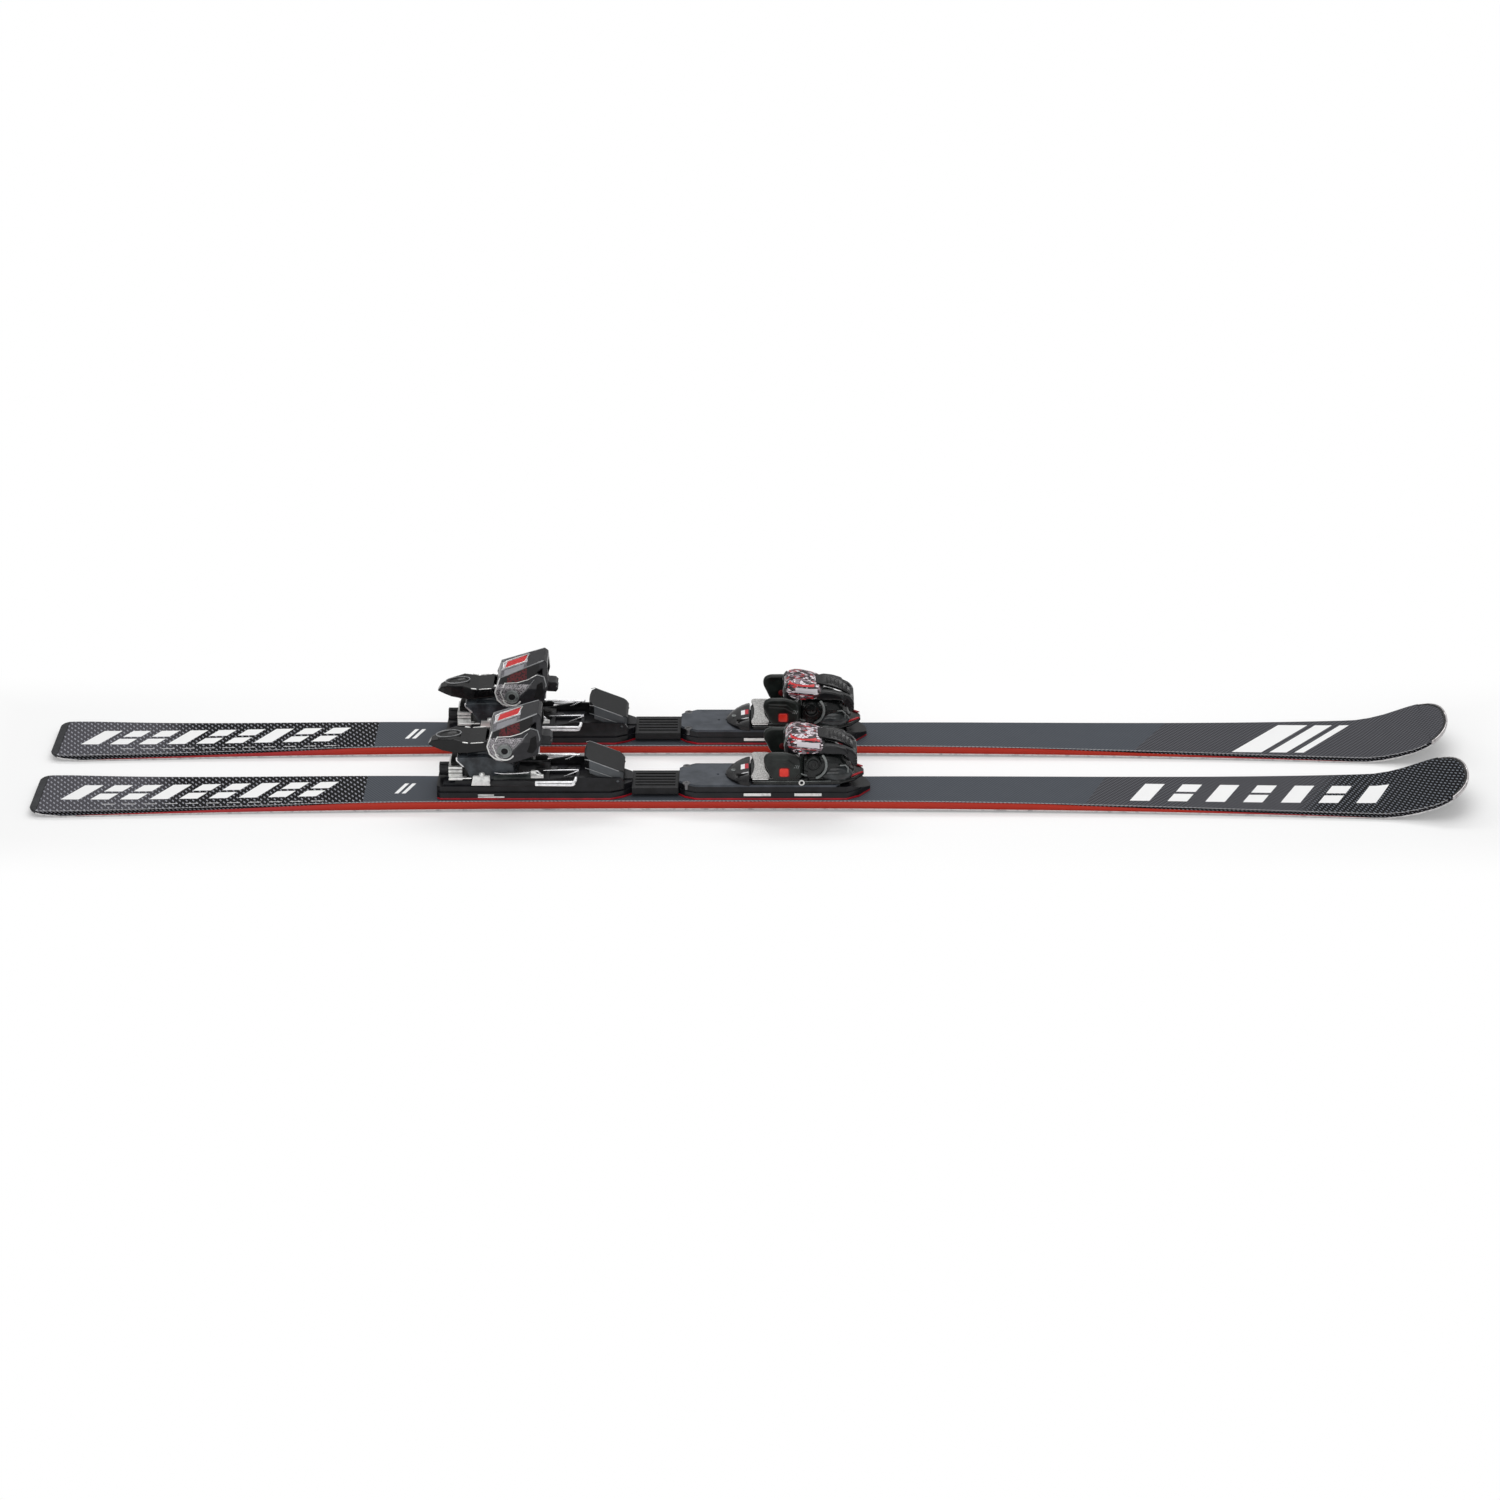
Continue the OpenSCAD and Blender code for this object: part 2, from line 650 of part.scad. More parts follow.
module heel_cup() {
    inner = cup_w / 2 - cup_t;
    color([0.25, 0.25, 0.26]) difference() {
        union() {
            intersection() {
                side([[-322, 62], [-325, 76], [-318, 92], [-262, 113], [-258, 109], [-257, 82], [-262, 62],
                    [-284, 54], [-298, 50], [-314, 54]], -cup_w / 2, cup_w / 2);
                front([[-cup_w / 2, 45], [-cup_w / 2, 78], [-cup_top_w / 2, 114], [cup_top_w / 2, 114],
                    [cup_w / 2, 78], [cup_w / 2, 45]], -340, -240);
            }
            // spur that the boot heel treads on
            side([[-275, 66], [-248, 64], [-245, 68], [-248, 71], [-245, 74], [-249, 78],
                [-275, 79]], -10, 10);
        }
        // boot heel space, open to the front and below, past the tread bar and its spur
        difference() {
            intersection() {
                side([[-340, 40], [-340, 80], [-312, 80], [-306, 86], [-262, 101], [-240, 101], [-240, 40]],
                    -inner, inner);
                front([[-inner, 30], [-inner, 77], [cup_t - cup_top_w / 2, 112], [cup_top_w / 2 - cup_t, 112],
                    [inner, 77], [inner, 30]], -341, -239);
            }
            side([[-278, 62], [-266, 62], [-266, 79], [-278, 79]], -inner - 1, inner + 1);
            side([[-278, 64], [-240, 62], [-240, 80], [-278, 80]], -12, 12);
        }
        // column and lever clearance under the back web
        side([[-340, 40], [-340, 80], [-288, 80], [-288, 40]], -inner, inner);
        across(heel_axle_x, heel_axle_h, heel_axle_r + run, -40, 40);
        // see-through window near the top corner
        side([[-272, 96], [-264, 92], [-264, 103]], -40, 40);
    }
}

module stepout_lever() {
    arm = column_w / 2 + gap;
    color([0.05, 0.05, 0.06]) difference() {
        union() {
            intersection() {
                side([[-400, 63], [-396, 69], [-384, 74], [-366, 77], [-348, 73], [-327, 75], [-327, 62],
                    [-344, 60], [-362, 58], [-382, 59]], -lever_w / 2, lever_w / 2);
                plan(mirrored([[-400, 4], [-392, 9], [-381, 14], [-366, 19.5], [-352, lever_w / 2], [-320, 23]]),
                    40, 90);
            }
            both_y() {
                across(heel_axle_x, heel_axle_h, lever_arm_r, arm, arm + lever_arm_w);
                side([[-330, 62], [-330, 74], [heel_axle_x, 77], [heel_axle_x, 59]], arm, arm + lever_arm_w);
            }
        }
        // oval dimple for the pole tip
        translate([-374, 0, 84]) scale([1, 0.6, 0.5]) sphere(r = 18);
        across(heel_axle_x, heel_axle_h, heel_axle_r + run, -40, 40);
    }
}

module heel_screw() {
    color("dimgray") difference() {
        along(0, 42, toe_screw_r, -359, -332);
        block([-361, -0.8, 37], [-357, 0.8, 47]);
    }
}

module pressure_knob() {
    color([0.04, 0.04, 0.04]) {
        difference() {
            along(0, knob_h, knob_r, knob_x[0], knob_x[1]);
            for (a = [0:30:330]) translate([0, 0, knob_h]) rotate([a, 0, 0])
                block([knob_x[0] - 1, knob_r - 1, -0.8], [knob_x[1] + 1, knob_r + 2, 0.8]);
        }
    }
}

// Grooved block behind the column and the clips on the carriage's sides
module heel_blocks() {
    color("silver") {
        difference() {
            block([block_x[0], -18, carriage_z[1]], [block_x[1], 18, 38]);
            for (z = [28:3:36]) both_y() block([block_x[0] - 1, 17.2, z], [block_x[1] + 1, 19, z + 1]);
        }
        both_y() {
            side([[-346, drawn_plate_h + 1], [-322.5, drawn_plate_h + 1], [-322.5, 31], [-343.5, 31]],
                carriage_w / 2, carriage_w / 2 + 1.6);
            block([-343.5, column_foot_w / 2 + gap, 29.6], [-322.5, carriage_w / 2, 31]);
        }
    }
}

// ---------- brake ----------

module brake_pad() {
    w = brake_pad_w / 2;
    color([0.12, 0.12, 0.12]) {
        intersection() {
            side([[-206, 52], [-203, 54], [-159, 36.5], [-156, 33], [-157, 22], [-160, 20], [-168, 20],
                [-198, 33.5], [-206, 37]], -w, w);
            plan(mirrored([[-206, 6], [-204.5, w - 11], [-199, w], [-162, w], [-156, w - 5]]), 10, 60);
        }
        across(pad_pin[0], pad_pin[1], pad_pin_r, -frame_y[1], frame_y[1]);
    }
}

// The arm on the side of positive y: a hub on a tilted axis and a wire along the ski
module brake_arm() {
    color("silver") {
        translate([arm_pivot[0], arm_y, arm_pivot[1]]) sphere(r = brake_wire_r + 1.4);
        translate([arm_pivot[0], arm_y, arm_pivot[1]]) rotate([90 + arm_tilt, 0, 0])
            cylinder(h = hub_length, r = brake_wire_r);
        along(arm_y, arm_pivot[1], brake_wire_r, arm_pivot[0] - arm_length, arm_pivot[0]);
    }
}

module brake_foot() {
    end = arm_pivot[0] - arm_length;
    color([0.05, 0.05, 0.05]) {
        along(arm_y, arm_pivot[1], foot_r, end - foot_length, end);
        translate([end - foot_length, arm_y, arm_pivot[1]]) sphere(r = foot_r);
    }
}

// ---------- nodes ----------

ski_bases();
steel_edges();
wood_cores();
sidewalls();
topsheets();
end_guards();
rear_plates();
front_plates();
plate_rims();
plate_bars();
centre_rails();
toe_tracks();
heel_tracks();
mounting_screws();

for (s = sides) {
    side_name = s[0];
    on_plate(s[1]) toe_base();
    on_plate(s[1]) toe_hood();
    on_plate(s[1]) wing_pins();
    on_plate(s[1]) toe_lock();
    on_plate(s[1]) boot_rest();
    on_plate(s[1]) handed(s[1]) color([0.08, 0.08, 0.09]) wing();
    on_plate(s[1]) handed(-s[1]) color([0.08, 0.08, 0.09]) wing();
    on_plate(s[1]) handed(s[1]) color([0.85, 0.15, 0.12]) button();
    on_plate(s[1]) handed(-s[1]) color([0.85, 0.15, 0.12]) button();
    on_plate(s[1]) toe_screw();
    on_plate(s[1]) heel_carriage();
    on_plate(s[1]) heel_column();
    on_plate(s[1]) heel_axle();
    on_plate(s[1]) heel_cup();
    on_plate(s[1]) stepout_lever();
    on_plate(s[1]) heel_screw();
    on_plate(s[1]) pressure_knob();
    on_plate(s[1]) heel_blocks();
    on_plate(s[1]) brake_pad();
    on_plate(s[1]) handed(s[1]) brake_arm();
    on_plate(s[1]) handed(-s[1]) brake_arm();
    on_plate(s[1]) handed(s[1]) brake_foot();
    on_plate(s[1]) handed(-s[1]) brake_foot();
}
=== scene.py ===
"""The looks of a pair of alpine race skis with plates, toe pieces, heel pieces and brakes."""

import math

import bmesh
import bpy
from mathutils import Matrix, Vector


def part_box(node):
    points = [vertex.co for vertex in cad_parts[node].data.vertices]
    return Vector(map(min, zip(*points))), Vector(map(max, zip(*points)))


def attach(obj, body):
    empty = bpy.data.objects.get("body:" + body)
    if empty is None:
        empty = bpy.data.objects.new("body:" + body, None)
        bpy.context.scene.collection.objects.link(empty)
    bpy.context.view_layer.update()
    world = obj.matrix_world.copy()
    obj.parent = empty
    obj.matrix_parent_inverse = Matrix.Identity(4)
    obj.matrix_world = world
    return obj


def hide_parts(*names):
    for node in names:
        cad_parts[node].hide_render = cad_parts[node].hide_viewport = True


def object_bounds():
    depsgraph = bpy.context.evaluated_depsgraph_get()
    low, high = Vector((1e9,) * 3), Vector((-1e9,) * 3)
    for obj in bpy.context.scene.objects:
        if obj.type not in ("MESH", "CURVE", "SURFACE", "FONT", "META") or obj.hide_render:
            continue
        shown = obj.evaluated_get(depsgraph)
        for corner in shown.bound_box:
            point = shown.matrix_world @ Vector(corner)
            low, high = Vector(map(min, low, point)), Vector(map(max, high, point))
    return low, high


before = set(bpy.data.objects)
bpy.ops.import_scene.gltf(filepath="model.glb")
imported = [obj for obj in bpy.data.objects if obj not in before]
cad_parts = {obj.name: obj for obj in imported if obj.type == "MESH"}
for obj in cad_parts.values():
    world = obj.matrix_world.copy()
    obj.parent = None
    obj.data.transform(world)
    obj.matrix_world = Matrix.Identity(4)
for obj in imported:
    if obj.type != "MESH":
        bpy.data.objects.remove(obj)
cad_bounds = [[float(c) for c in corner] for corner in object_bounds()]

# ---------- sizes, in millimetres ----------

MM = 0.001
HALF_LENGTH = cad_bounds[1][0] / MM
SKI_TOP = round(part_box("plate_rims")[0].z / MM, 3)
CENTRE = {}
for side in ("right", "left"):
    a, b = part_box(side + "_toe_base")
    CENTRE[side] = (a.y + b.y) / 2 / MM
OUTWARD = {"right": -1, "left": 1}

# plan of a ski
TIP_W, WAIST_W, TAIL_W = 122.0, 70.0, 102.0
WAIST_X = -60.0
SIDECUT_POWER = 2.59
TIP_LENGTH = 50
TIP_ROUNDNESS = 2.4
SHOVEL_X = HALF_LENGTH - TIP_LENGTH
TAIL_WIDE_X = 40 - HALF_LENGTH
TAIL_CORNER = [(0, 0.01), (0, 38), (1.5, 42.5), (4, 46.5), (9, 50), (16, 51)]
GUARD_X = HALF_LENGTH - 28
TAIL_CAP_X = 8 - HALF_LENGTH
WALL_REAR_X, WALL_FRONT_X = -850, 770

# side view of a ski
FRONT_CONTACT = HALF_LENGTH - 115
REAR_CONTACT = 90 - HALF_LENGTH
TIP_RISE, TIP_BEND = 39, 1.7
TAIL_LIFT, TAIL_RUN, TAIL_BEND = 7, 32, 1.4
TAIL_LIFT_X = TAIL_RUN - HALF_LENGTH
CAMBER = 2.5
MIDDLE_T, SHOVEL_T, TIP_T, TAIL_T = 15.0, 8, 6, 9
FRONT_TAPER_X, REAR_TAPER_X = 165, -410

# heel piece: its axle, and the half width of its cup, which leans inwards from a height on
AXLE = (-303.0, 68.0)
CUP_HALF_W, CUP_LEAN_Z, CUP_LEAN = 33.0, 78, 14 / 36


# ---------- shader fields ----------

class Field:
    """A value inside a material, which adds and multiplies like a number."""

    def __init__(self, shader, socket):
        self.shader, self.socket = shader, socket

    def _with(self, kind, *others):
        return self.shader.maths(kind, self, *others)

    def __add__(self, other):
        return self._with("ADD", other)

    def __radd__(self, other):
        return self._with("ADD", other)

    def __sub__(self, other):
        return self._with("SUBTRACT", other)

    def __rsub__(self, other):
        return self.shader.maths("SUBTRACT", other, self)

    def __mul__(self, other):
        return self._with("MULTIPLY", other)

    def __rmul__(self, other):
        return self._with("MULTIPLY", other)

    def __truediv__(self, other):
        return self._with("DIVIDE", other)

    def above(self, other):
        return self._with("GREATER_THAN", other)

    def below(self, other):
        return self._with("LESS_THAN", other)

    def fract(self):
        return self._with("FRACT")

    def floor(self):
        return self._with("FLOOR")

    def sin(self):
        return self._with("SINE")

    def abs(self):
        return self._with("ABSOLUTE")

    def within(self, lo, hi):
        return self.above(lo) * self.below(hi)

    def smooth(self, lo, hi):
        """0 at lo, 1 at hi, eased between them."""
        node = self.shader.add("ShaderNodeMapRange", interpolation_type="SMOOTHSTEP")
        self.shader.link(self, node.inputs["Value"])
        node.inputs["From Min"].default_value = lo
        node.inputs["From Max"].default_value = hi
        return Field(self.shader, node.outputs["Result"])


class Shader:
    """A principled material, with its colour, roughness and bump given as fields."""

    def __init__(self, name):
        self.material = bpy.data.materials.new(name)
        self.material.use_nodes = True
        self.tree = self.material.node_tree
        self.tree.nodes.clear()
        self.output = self.add("ShaderNodeOutputMaterial")
        self.surface = self.add("ShaderNodeBsdfPrincipled")
        self.tree.links.new(self.surface.outputs[0], self.output.inputs[0])

    def add(self, kind, **settings):
        node = self.tree.nodes.new(kind)
        for key, value in settings.items():
            setattr(node, key, value)
        return node

    def link(self, value, socket):
        if isinstance(value, Field):
            self.tree.links.new(value.socket, socket)
        elif isinstance(value, (tuple, list)):
            socket.default_value = (*value, 1.0)[:4] if len(value) == 3 else value
        else:
            socket.default_value = value

    def maths(self, kind, *values):
        node = self.add("ShaderNodeMath", operation=kind)
        for value, socket in zip(values, node.inputs):
            self.link(value, socket)
        return Field(self, node.outputs[0])

    def place(self):
        """X, Y and Z in the row frame at rest, in millimetres."""
        coords = self.add("ShaderNodeTexCoord")
        split = self.add("ShaderNodeSeparateXYZ")
        self.tree.links.new(coords.outputs["Object"], split.inputs[0])
        return [Field(self, split.outputs[i]) * 1000.0 for i in range(3)]

    def over_ski(self, side):
        """X, Y from that ski's centreline and Z from its top face, in millimetres."""
        x, y, z = self.place()
        return x, y - CENTRE[side], z - SKI_TOP

    def facing(self):
        """The X, Y and Z parts of the surface's direction."""
        geometry = self.add("ShaderNodeNewGeometry")
        split = self.add("ShaderNodeSeparateXYZ")
        self.tree.links.new(geometry.outputs["Normal"], split.inputs[0])
        return [Field(self, split.outputs[i]) for i in range(3)]

    def vector(self, x, y, z):
        node = self.add("ShaderNodeCombineXYZ")
        for value, socket in zip((x, y, z), node.inputs):
            self.link(value, socket)
        return node.outputs[0]

    def texture(self, kind, size, stretch, **settings):
        """A texture whose features are about size millimetres, times stretch along each axis."""
        node = self.add(kind, **settings)
        scaled = [c / (size * longer) for c, longer in zip(self.place(), stretch)]
        self.tree.links.new(self.vector(*scaled), node.inputs["Vector"])
        node.inputs["Scale"].default_value = 1.0
        return node

    def noise(self, size, detail=3.0, stretch=(1, 1, 1)):
        """Clouds from 0 to 1."""
        node = self.texture("ShaderNodeTexNoise", size, stretch)
        node.inputs["Detail"].default_value = detail
        return Field(self, node.outputs[0])

    def shards(self, size, stretch=(1, 1, 1), output="Distance", feature="F1"):
        """Angular cells: the distance to their middles or edges, or their colour."""
        node = self.texture("ShaderNodeTexVoronoi", size, stretch, feature=feature)
        return Field(self, node.outputs[output])

    def mix(self, factor, a, b):
        node = self.add("ShaderNodeMix", data_type="RGBA")
        self.link(factor, node.inputs[0])
        self.link(a, node.inputs[6])
        self.link(b, node.inputs[7])
        return Field(self, node.outputs[2])

    def colour(self, value):
        self.link(value, self.surface.inputs["Base Color"])
        return self

    def finish(self, roughness=0.5, metallic=0.0, coat=0.0, bump=None, depth=0.1, specular=0.24):
        self.link(roughness, self.surface.inputs["Roughness"])
        self.link(metallic, self.surface.inputs["Metallic"])
        self.surface.inputs["Coat Weight"].default_value = coat
        self.surface.inputs["Specular IOR Level"].default_value = specular
        self.surface.inputs["Coat Roughness"].default_value = 0.12
        if bump is not None:
            node = self.add("ShaderNodeBump")
            node.inputs["Distance"].default_value = depth * MM
            node.inputs["Strength"].default_value = 1.0
            self.link(bump, node.inputs["Height"])
            self.tree.links.new(node.outputs[0], self.surface.inputs["Normal"])
        return self.material


def rgb(r, g, b):
    """A display colour of 0 to 255 as the linear one that a material takes."""
    def linear(c):
        c /= 255
        return c / 12.92 if c <= 0.04045 else ((c + 0.055) / 1.055) ** 2.4
    return (linear(r), linear(g), linear(b))


# ---------- materials ----------

def plastic(name, base, light, roughness=0.42, grain=0.6, coat=0.0, depth=0.05):
    """Moulded plastic: a fine grain, faint clouding and duller scuffs."""
    s = Shader(name)
    cloud = s.noise(14.0, 3.0)
    scuff = s.noise(3.0, 4.0, (4, 1, 1)).smooth(0.58, 0.75)
    s.colour(s.mix(cloud.smooth(0.3, 0.7), base, light))
    return s.finish(roughness + 0.12 * scuff, 0.0, coat, s.noise(grain, 2.0), depth)


def metal(name, base, dark, roughness=0.22, stretch=(12, 1, 1), metallic=1.0):
    """Metal with a fine drawn grain and faint tarnish."""
    s = Shader(name)
    grain = s.noise(0.5, 3.0, stretch)
    s.colour(s.mix(s.noise(6.0, 3.0).smooth(0.45, 0.75), base, dark))
    return s.finish(roughness + 0.14 * grain, metallic, 0.0, grain, 0.02)


def dashes(x, y, spacing, pitch, thickness):
    """Slanted rows of dashes, spacing apart, with a dash at every pitch along a row."""
    row = (y + 1.25 * x) / spacing
    return (x / pitch + row.floor() * 0.37).fract().below(0.5) * row.fract().below(thickness)


def weave_zones(s, x, y, weave, dash, right):
    """The ground print: black with dashes at the tail, slate in the middle and scales in front."""
    ground = s.mix((x + s.noise(60.0) * 50).smooth(-680.0, -745.0), rgb(2, 2, 4), rgb(72, 71, 76))
    tail = s.mix(dash, ground, rgb(146, 147, 155))
    middle = s.mix(weave, rgb(62, 66, 72), rgb(80, 84, 91))
    scales = ((x * 1.5).sin() * (y * 0.9 + x * 0.5).sin()).smooth(-0.6, 0.7)
    front = s.mix(scales, rgb(48, 49, 53), rgb(88, 88, 93))
    if right:
        tip = s.mix(dashes(x, y, 8.0, 4.2, 0.36), rgb(3, 4, 7), rgb(116, 121, 130))
        front = s.mix((x - y * 0.5).smooth(690.0, 735.0), front, tip)
    boundary, slant = (432.0, 0.41) if right else (515.0, 0.575)
    fore = s.mix((x - y * slant).above(boundary), middle, front)
    return s.mix(x.below(-481.0), fore, tail)


def generic_artwork(s, x, y, right):
    """Where the white slanted bars lie: a row at the tail, bars or blocks in front, two behind the heel."""
    lean = x - y * 0.62
    bar = (lean + 848.0) / 37.0
    bars = bar.fract().below(0.62) * lean.within(-850.0, -516.0) * y.within(-19.0, 21.0)
    slit = (bar.floor() / 3.0).fract().above(0.2) * y.within(-2.6, 3.4)
    ticks = (x / 26.0).fract().below(0.62) * y.within(-33.0, -31.4) * x.within(-806.0, -520.0)
    mark = s.maths("MAXIMUM", bars * (1.0 - slit), ticks * 0.6)
    if right:
        lean = x - y * 0.5
        bar = (lean - 486.0) / 47.0
        bars = bar.fract().below(0.52) * lean.within(486.0, 800.0) * y.within(-27.0, 21.0)
        gap = y.within(-6.0, 0.0) * (bar.floor() / 2.0).fract().above(0.3)
        fore = bars * (1.0 - gap)
    else:
        lean = x - y * 0.85
        blocks = lean.within(652.0, 690.0) + lean.within(700.0, 722.0) + lean.within(732.0, 744.0)
        fore = blocks * y.within(-42.0, 40.0)
    mark = s.maths("MAXIMUM", mark, fore)
    lean = x - y * 0.4
    small = lean.within(-438.0, -433.0) + lean.within(-429.0, -424.0)
    return s.maths("MAXIMUM", mark, small * y.within(-14.0, 14.0))


def topsheet(side):
    """A printed weave in three zones, with slanted bars in white."""
    s = Shader("topsheet_" + side)
    z = s.place()[2]
    x, y, _ = s.over_ski(side)
    _, sideways, up = s.facing()
    right = side == "right"
    dash = dashes(x, y, 10.5, 5.2, 0.34)
    weave = (x * 1.5 + y * 1.1).sin() * 0.5 + 0.5
    body = weave_zones(s, x, y, weave, dash, right)
    body = s.mix(generic_artwork(s, x, y, right) * up.above(0.6), body, rgb(238, 238, 238))
    # the wrapped-down side is black with rows of light dots
    dots = (x / 5.2 + z / 4.0).fract().below(0.42) * (z / 3.2).fract().below(0.5)
    flank = s.mix(dots, rgb(8, 8, 10), rgb(110, 110, 116))
    body = s.mix(up.smooth(0.55, 0.25), body, flank)
    # the bevel along the top edge is painted pale grey in short dashes: a painted highlight, where light
    # catches the edge
    highlight_rope = (x / 5.0 + y * 0.3).fract().below(0.6) * 0.45 + 0.35
    body = s.mix(sideways.abs().within(0.35, 0.9) * x.below(862.0) * highlight_rope, body, rgb(176, 176, 178))
    s.colour(body)
    return s.finish(0.4 + 0.2 * s.noise(30.0), 0.0, 0.0, weave * 0.5 + dash, 0.05, specular=0.08)


def sidewall():
    """Red plastic with long streaks, a little cooler towards both ends."""
    s = Shader("sidewall_red")
    x = s.place()[0]
    base = s.mix(s.noise(80.0, 2.0, (4, 1, 1)), rgb(160, 30, 14), rgb(186, 44, 18))
    s.colour(s.mix(x.smooth(-480.0, -620.0) + x.smooth(520.0, 640.0), base, rgb(166, 40, 42)))
    roughness = 0.34 + 0.16 * s.noise(4.0, 3.0, (8, 1, 1))
    return s.finish(roughness, 0.0, 0.1, s.noise(1.5, 2.0, (20, 1, 1)), 0.03)


def hood_finish(side):
    """Black plastic with a bright print of shards on the rounded top."""
    s = Shader("hood_" + side)
    x, y, h = s.over_ski(side)
    lean = h + 0.12 * (x - 60.0)
    shard = s.shards(2.6, (2.2, 1.2, 0.8), "Color")
    line = s.shards(2.6, (2.2, 1.2, 0.8), "Distance", "DISTANCE_TO_EDGE").below(0.06)
    split = s.add("ShaderNodeSeparateColor")
    s.tree.links.new(shard.socket, split.inputs[0])
    tone = Field(s, split.outputs[0])
    paint = s.mix(tone.above(0.4), rgb(22, 20, 24), rgb(138, 122, 130))
    paint = s.mix(tone.above(0.62), paint, rgb(222, 212, 218))
    paint = s.mix(tone.above(0.88), paint, rgb(170, 36, 44))
    paint = s.mix(line, paint, rgb(70, 44, 50))
    # a plain pale band along each side between two red lines
    flank = y.abs().above(13.0)
    paint = s.mix(lean.within(71.6, 77.8) * x.within(58.0, 86.0) * flank, paint, rgb(206, 200, 206))
    paint = s.mix(lean.within(79.6, 81.2) * x.within(50.0, 82.0) * flank, paint, rgb(196, 40, 44))
    paint = s.mix(lean.within(68.6, 69.8) * x.within(50.0, 82.0) * flank, paint, rgb(140, 30, 38))
    # the print fills an oval with a ragged edge
    along, upward = (x - 67.0) / 23.0, (lean - 75.0) / 13.0
    leaf = along * along + upward * upward
    leaf = (leaf + 0.2 * s.noise(3.0)).below(1.1) * h.above(61.5)
    base = s.mix(s.noise(9.0), rgb(9, 9, 11), rgb(26, 27, 30))
    s.colour(s.mix(leaf, base, paint))
    return s.finish(0.26 + 0.12 * s.noise(2.0), 0.0, 0.2, s.noise(0.7), 0.05)


def cup_finish(side):
    """Dark plastic whose rear half is speckled silver, with a red window on the sloping top."""
    s = Shader("cup_" + side)
    x, y, h = s.over_ski(side)
    up = s.facing()[2]
    speck = s.noise(0.9, 2.0)
    silver = s.mix(speck.smooth(0.44, 0.58), rgb(34, 32, 36), rgb(186, 182, 186))
    dark = s.mix(s.noise(5.0), rgb(18, 18, 21), rgb(44, 44, 48))
    front = (x - 0.9 * (h - 89.0)).smooth(-279.0, -271.0)
    paint = s.mix(front, silver, dark)
    paint = s.mix(h.above(84.0), paint, dark)
    # painted shade: under the brow a band is painted near black, darker than the plastic, with flecks of the
    # recess's own dark red
    over_floor = (h - 0.38 * s.maths("MAXIMUM", x + 296.0, 0.0)).above(86.0)
    under_brow = (h - 0.373 * (x + 318.2)).below(90.4)
    recess = over_floor * under_brow * x.within(-316.0, -268.0)
    red = x.within(-309.0, -284.0) * s.noise(2.2).above(0.46)
    paint = s.mix(recess, paint, s.mix(red, rgb(8, 7, 9), rgb(82, 16, 22)))
    top = up.above(0.45)
    u = x + 318.0
    slope = s.mix(s.noise(1.6).smooth(0.35, 0.65), rgb(48, 47, 52), rgb(128, 126, 132))
    skew = u - 0.15 * (y - 6.0)
    window = skew.within(6.0, 32.0) * y.within(-2.5, 15.5)
    rim = skew.within(2.0, 36.0) * y.within(-6.0, 18.5)
    slope = s.mix(rim, slope, rgb(206, 204, 208))
    slope = s.mix(window, slope, rgb(206, 34, 38))
    slope = s.mix(y.below(-10.0) * u.within(5.0, 30.0), slope, rgb(142, 142, 148))
    slope = s.mix(u.above(34.0), slope, dark)
    s.colour(s.mix(top, paint, slope))
    return s.finish(0.26 + 0.2 * speck, 0.35 * (1.0 - front), 0.1, speck, 0.06)


def pad_finish():
    """Soft plastic, near black on top and greyer on the sides."""
    s = Shader("pad")
    cloud = s.noise(12.0, 3.0)
    sideways = s.facing()[1].abs().smooth(0.55, 0.85)
    top = s.mix(cloud, rgb(8, 9, 10), rgb(22, 23, 25))
    sides = s.mix(cloud, rgb(64, 67, 70), rgb(88, 91, 94))
    s.colour(s.mix(sideways, top, sides))
    return s.finish(0.44, 0.0, 0.0, s.noise(0.7, 2.0), 0.05)


def lock_finish(side):
    """Black plastic with a white and a red window and a pale line."""
    s = Shader("lock_" + side)
    x, y, _ = s.over_ski(side)
    base = s.mix(s.noise(6.0), rgb(6, 6, 8), rgb(20, 20, 23))
    window = x.within(-11.5, -6.5) * y.within(-7.5, 6.0)
    red = x.within(-6.5, -2.0) * y.within(-7.5, 6.0)
    base = s.mix(window, base, rgb(228, 226, 228))
    base = s.mix(red, base, rgb(176, 30, 48))
    line = x.within(-15.0, -2.0) * y.within(-19.2, -17.6)
    base = s.mix(line, base, rgb(214, 214, 216))
    s.colour(base)
    return s.finish(0.3 + 0.1 * s.noise(2.0), 0.0, 0.2, s.noise(0.8), 0.04)


def knurled(name, base, light, size=1.6, metallic=0.0, depth=0.25):
    """A surface of small raised points."""
    s = Shader(name)
    speck = s.shards(size)
    s.colour(s.mix(speck.smooth(0.25, 0.6), light, base))
    return s.finish(0.42, metallic, 0.0, 1.0 - speck, depth)


def floor_finish():
    """A white floor that keeps the soft shadow of the skis, and turns to plain white away from them."""
    s = Shader("floor")
    s.colour((0.92, 0.92, 0.92))
    x, y, _ = s.place()
    far = s.maths("MAXIMUM", x.abs().smooth(930.0, 1100.0), y.abs().smooth(170.0, 300.0)) * 0.75 + 0.25
    camera_ray = Field(s, s.add("ShaderNodeLightPath").outputs["Is Camera Ray"])
    glow = s.add("ShaderNodeEmission")
    blend = s.add("ShaderNodeMixShader")
    s.link(far * camera_ray, blend.inputs[0])
    s.tree.links.new(s.surface.outputs[0], blend.inputs[1])
    s.tree.links.new(glow.outputs[0], blend.inputs[2])
    s.tree.links.new(blend.outputs[0], s.output.inputs[0])
    return s.finish(0.9, specular=0.0)


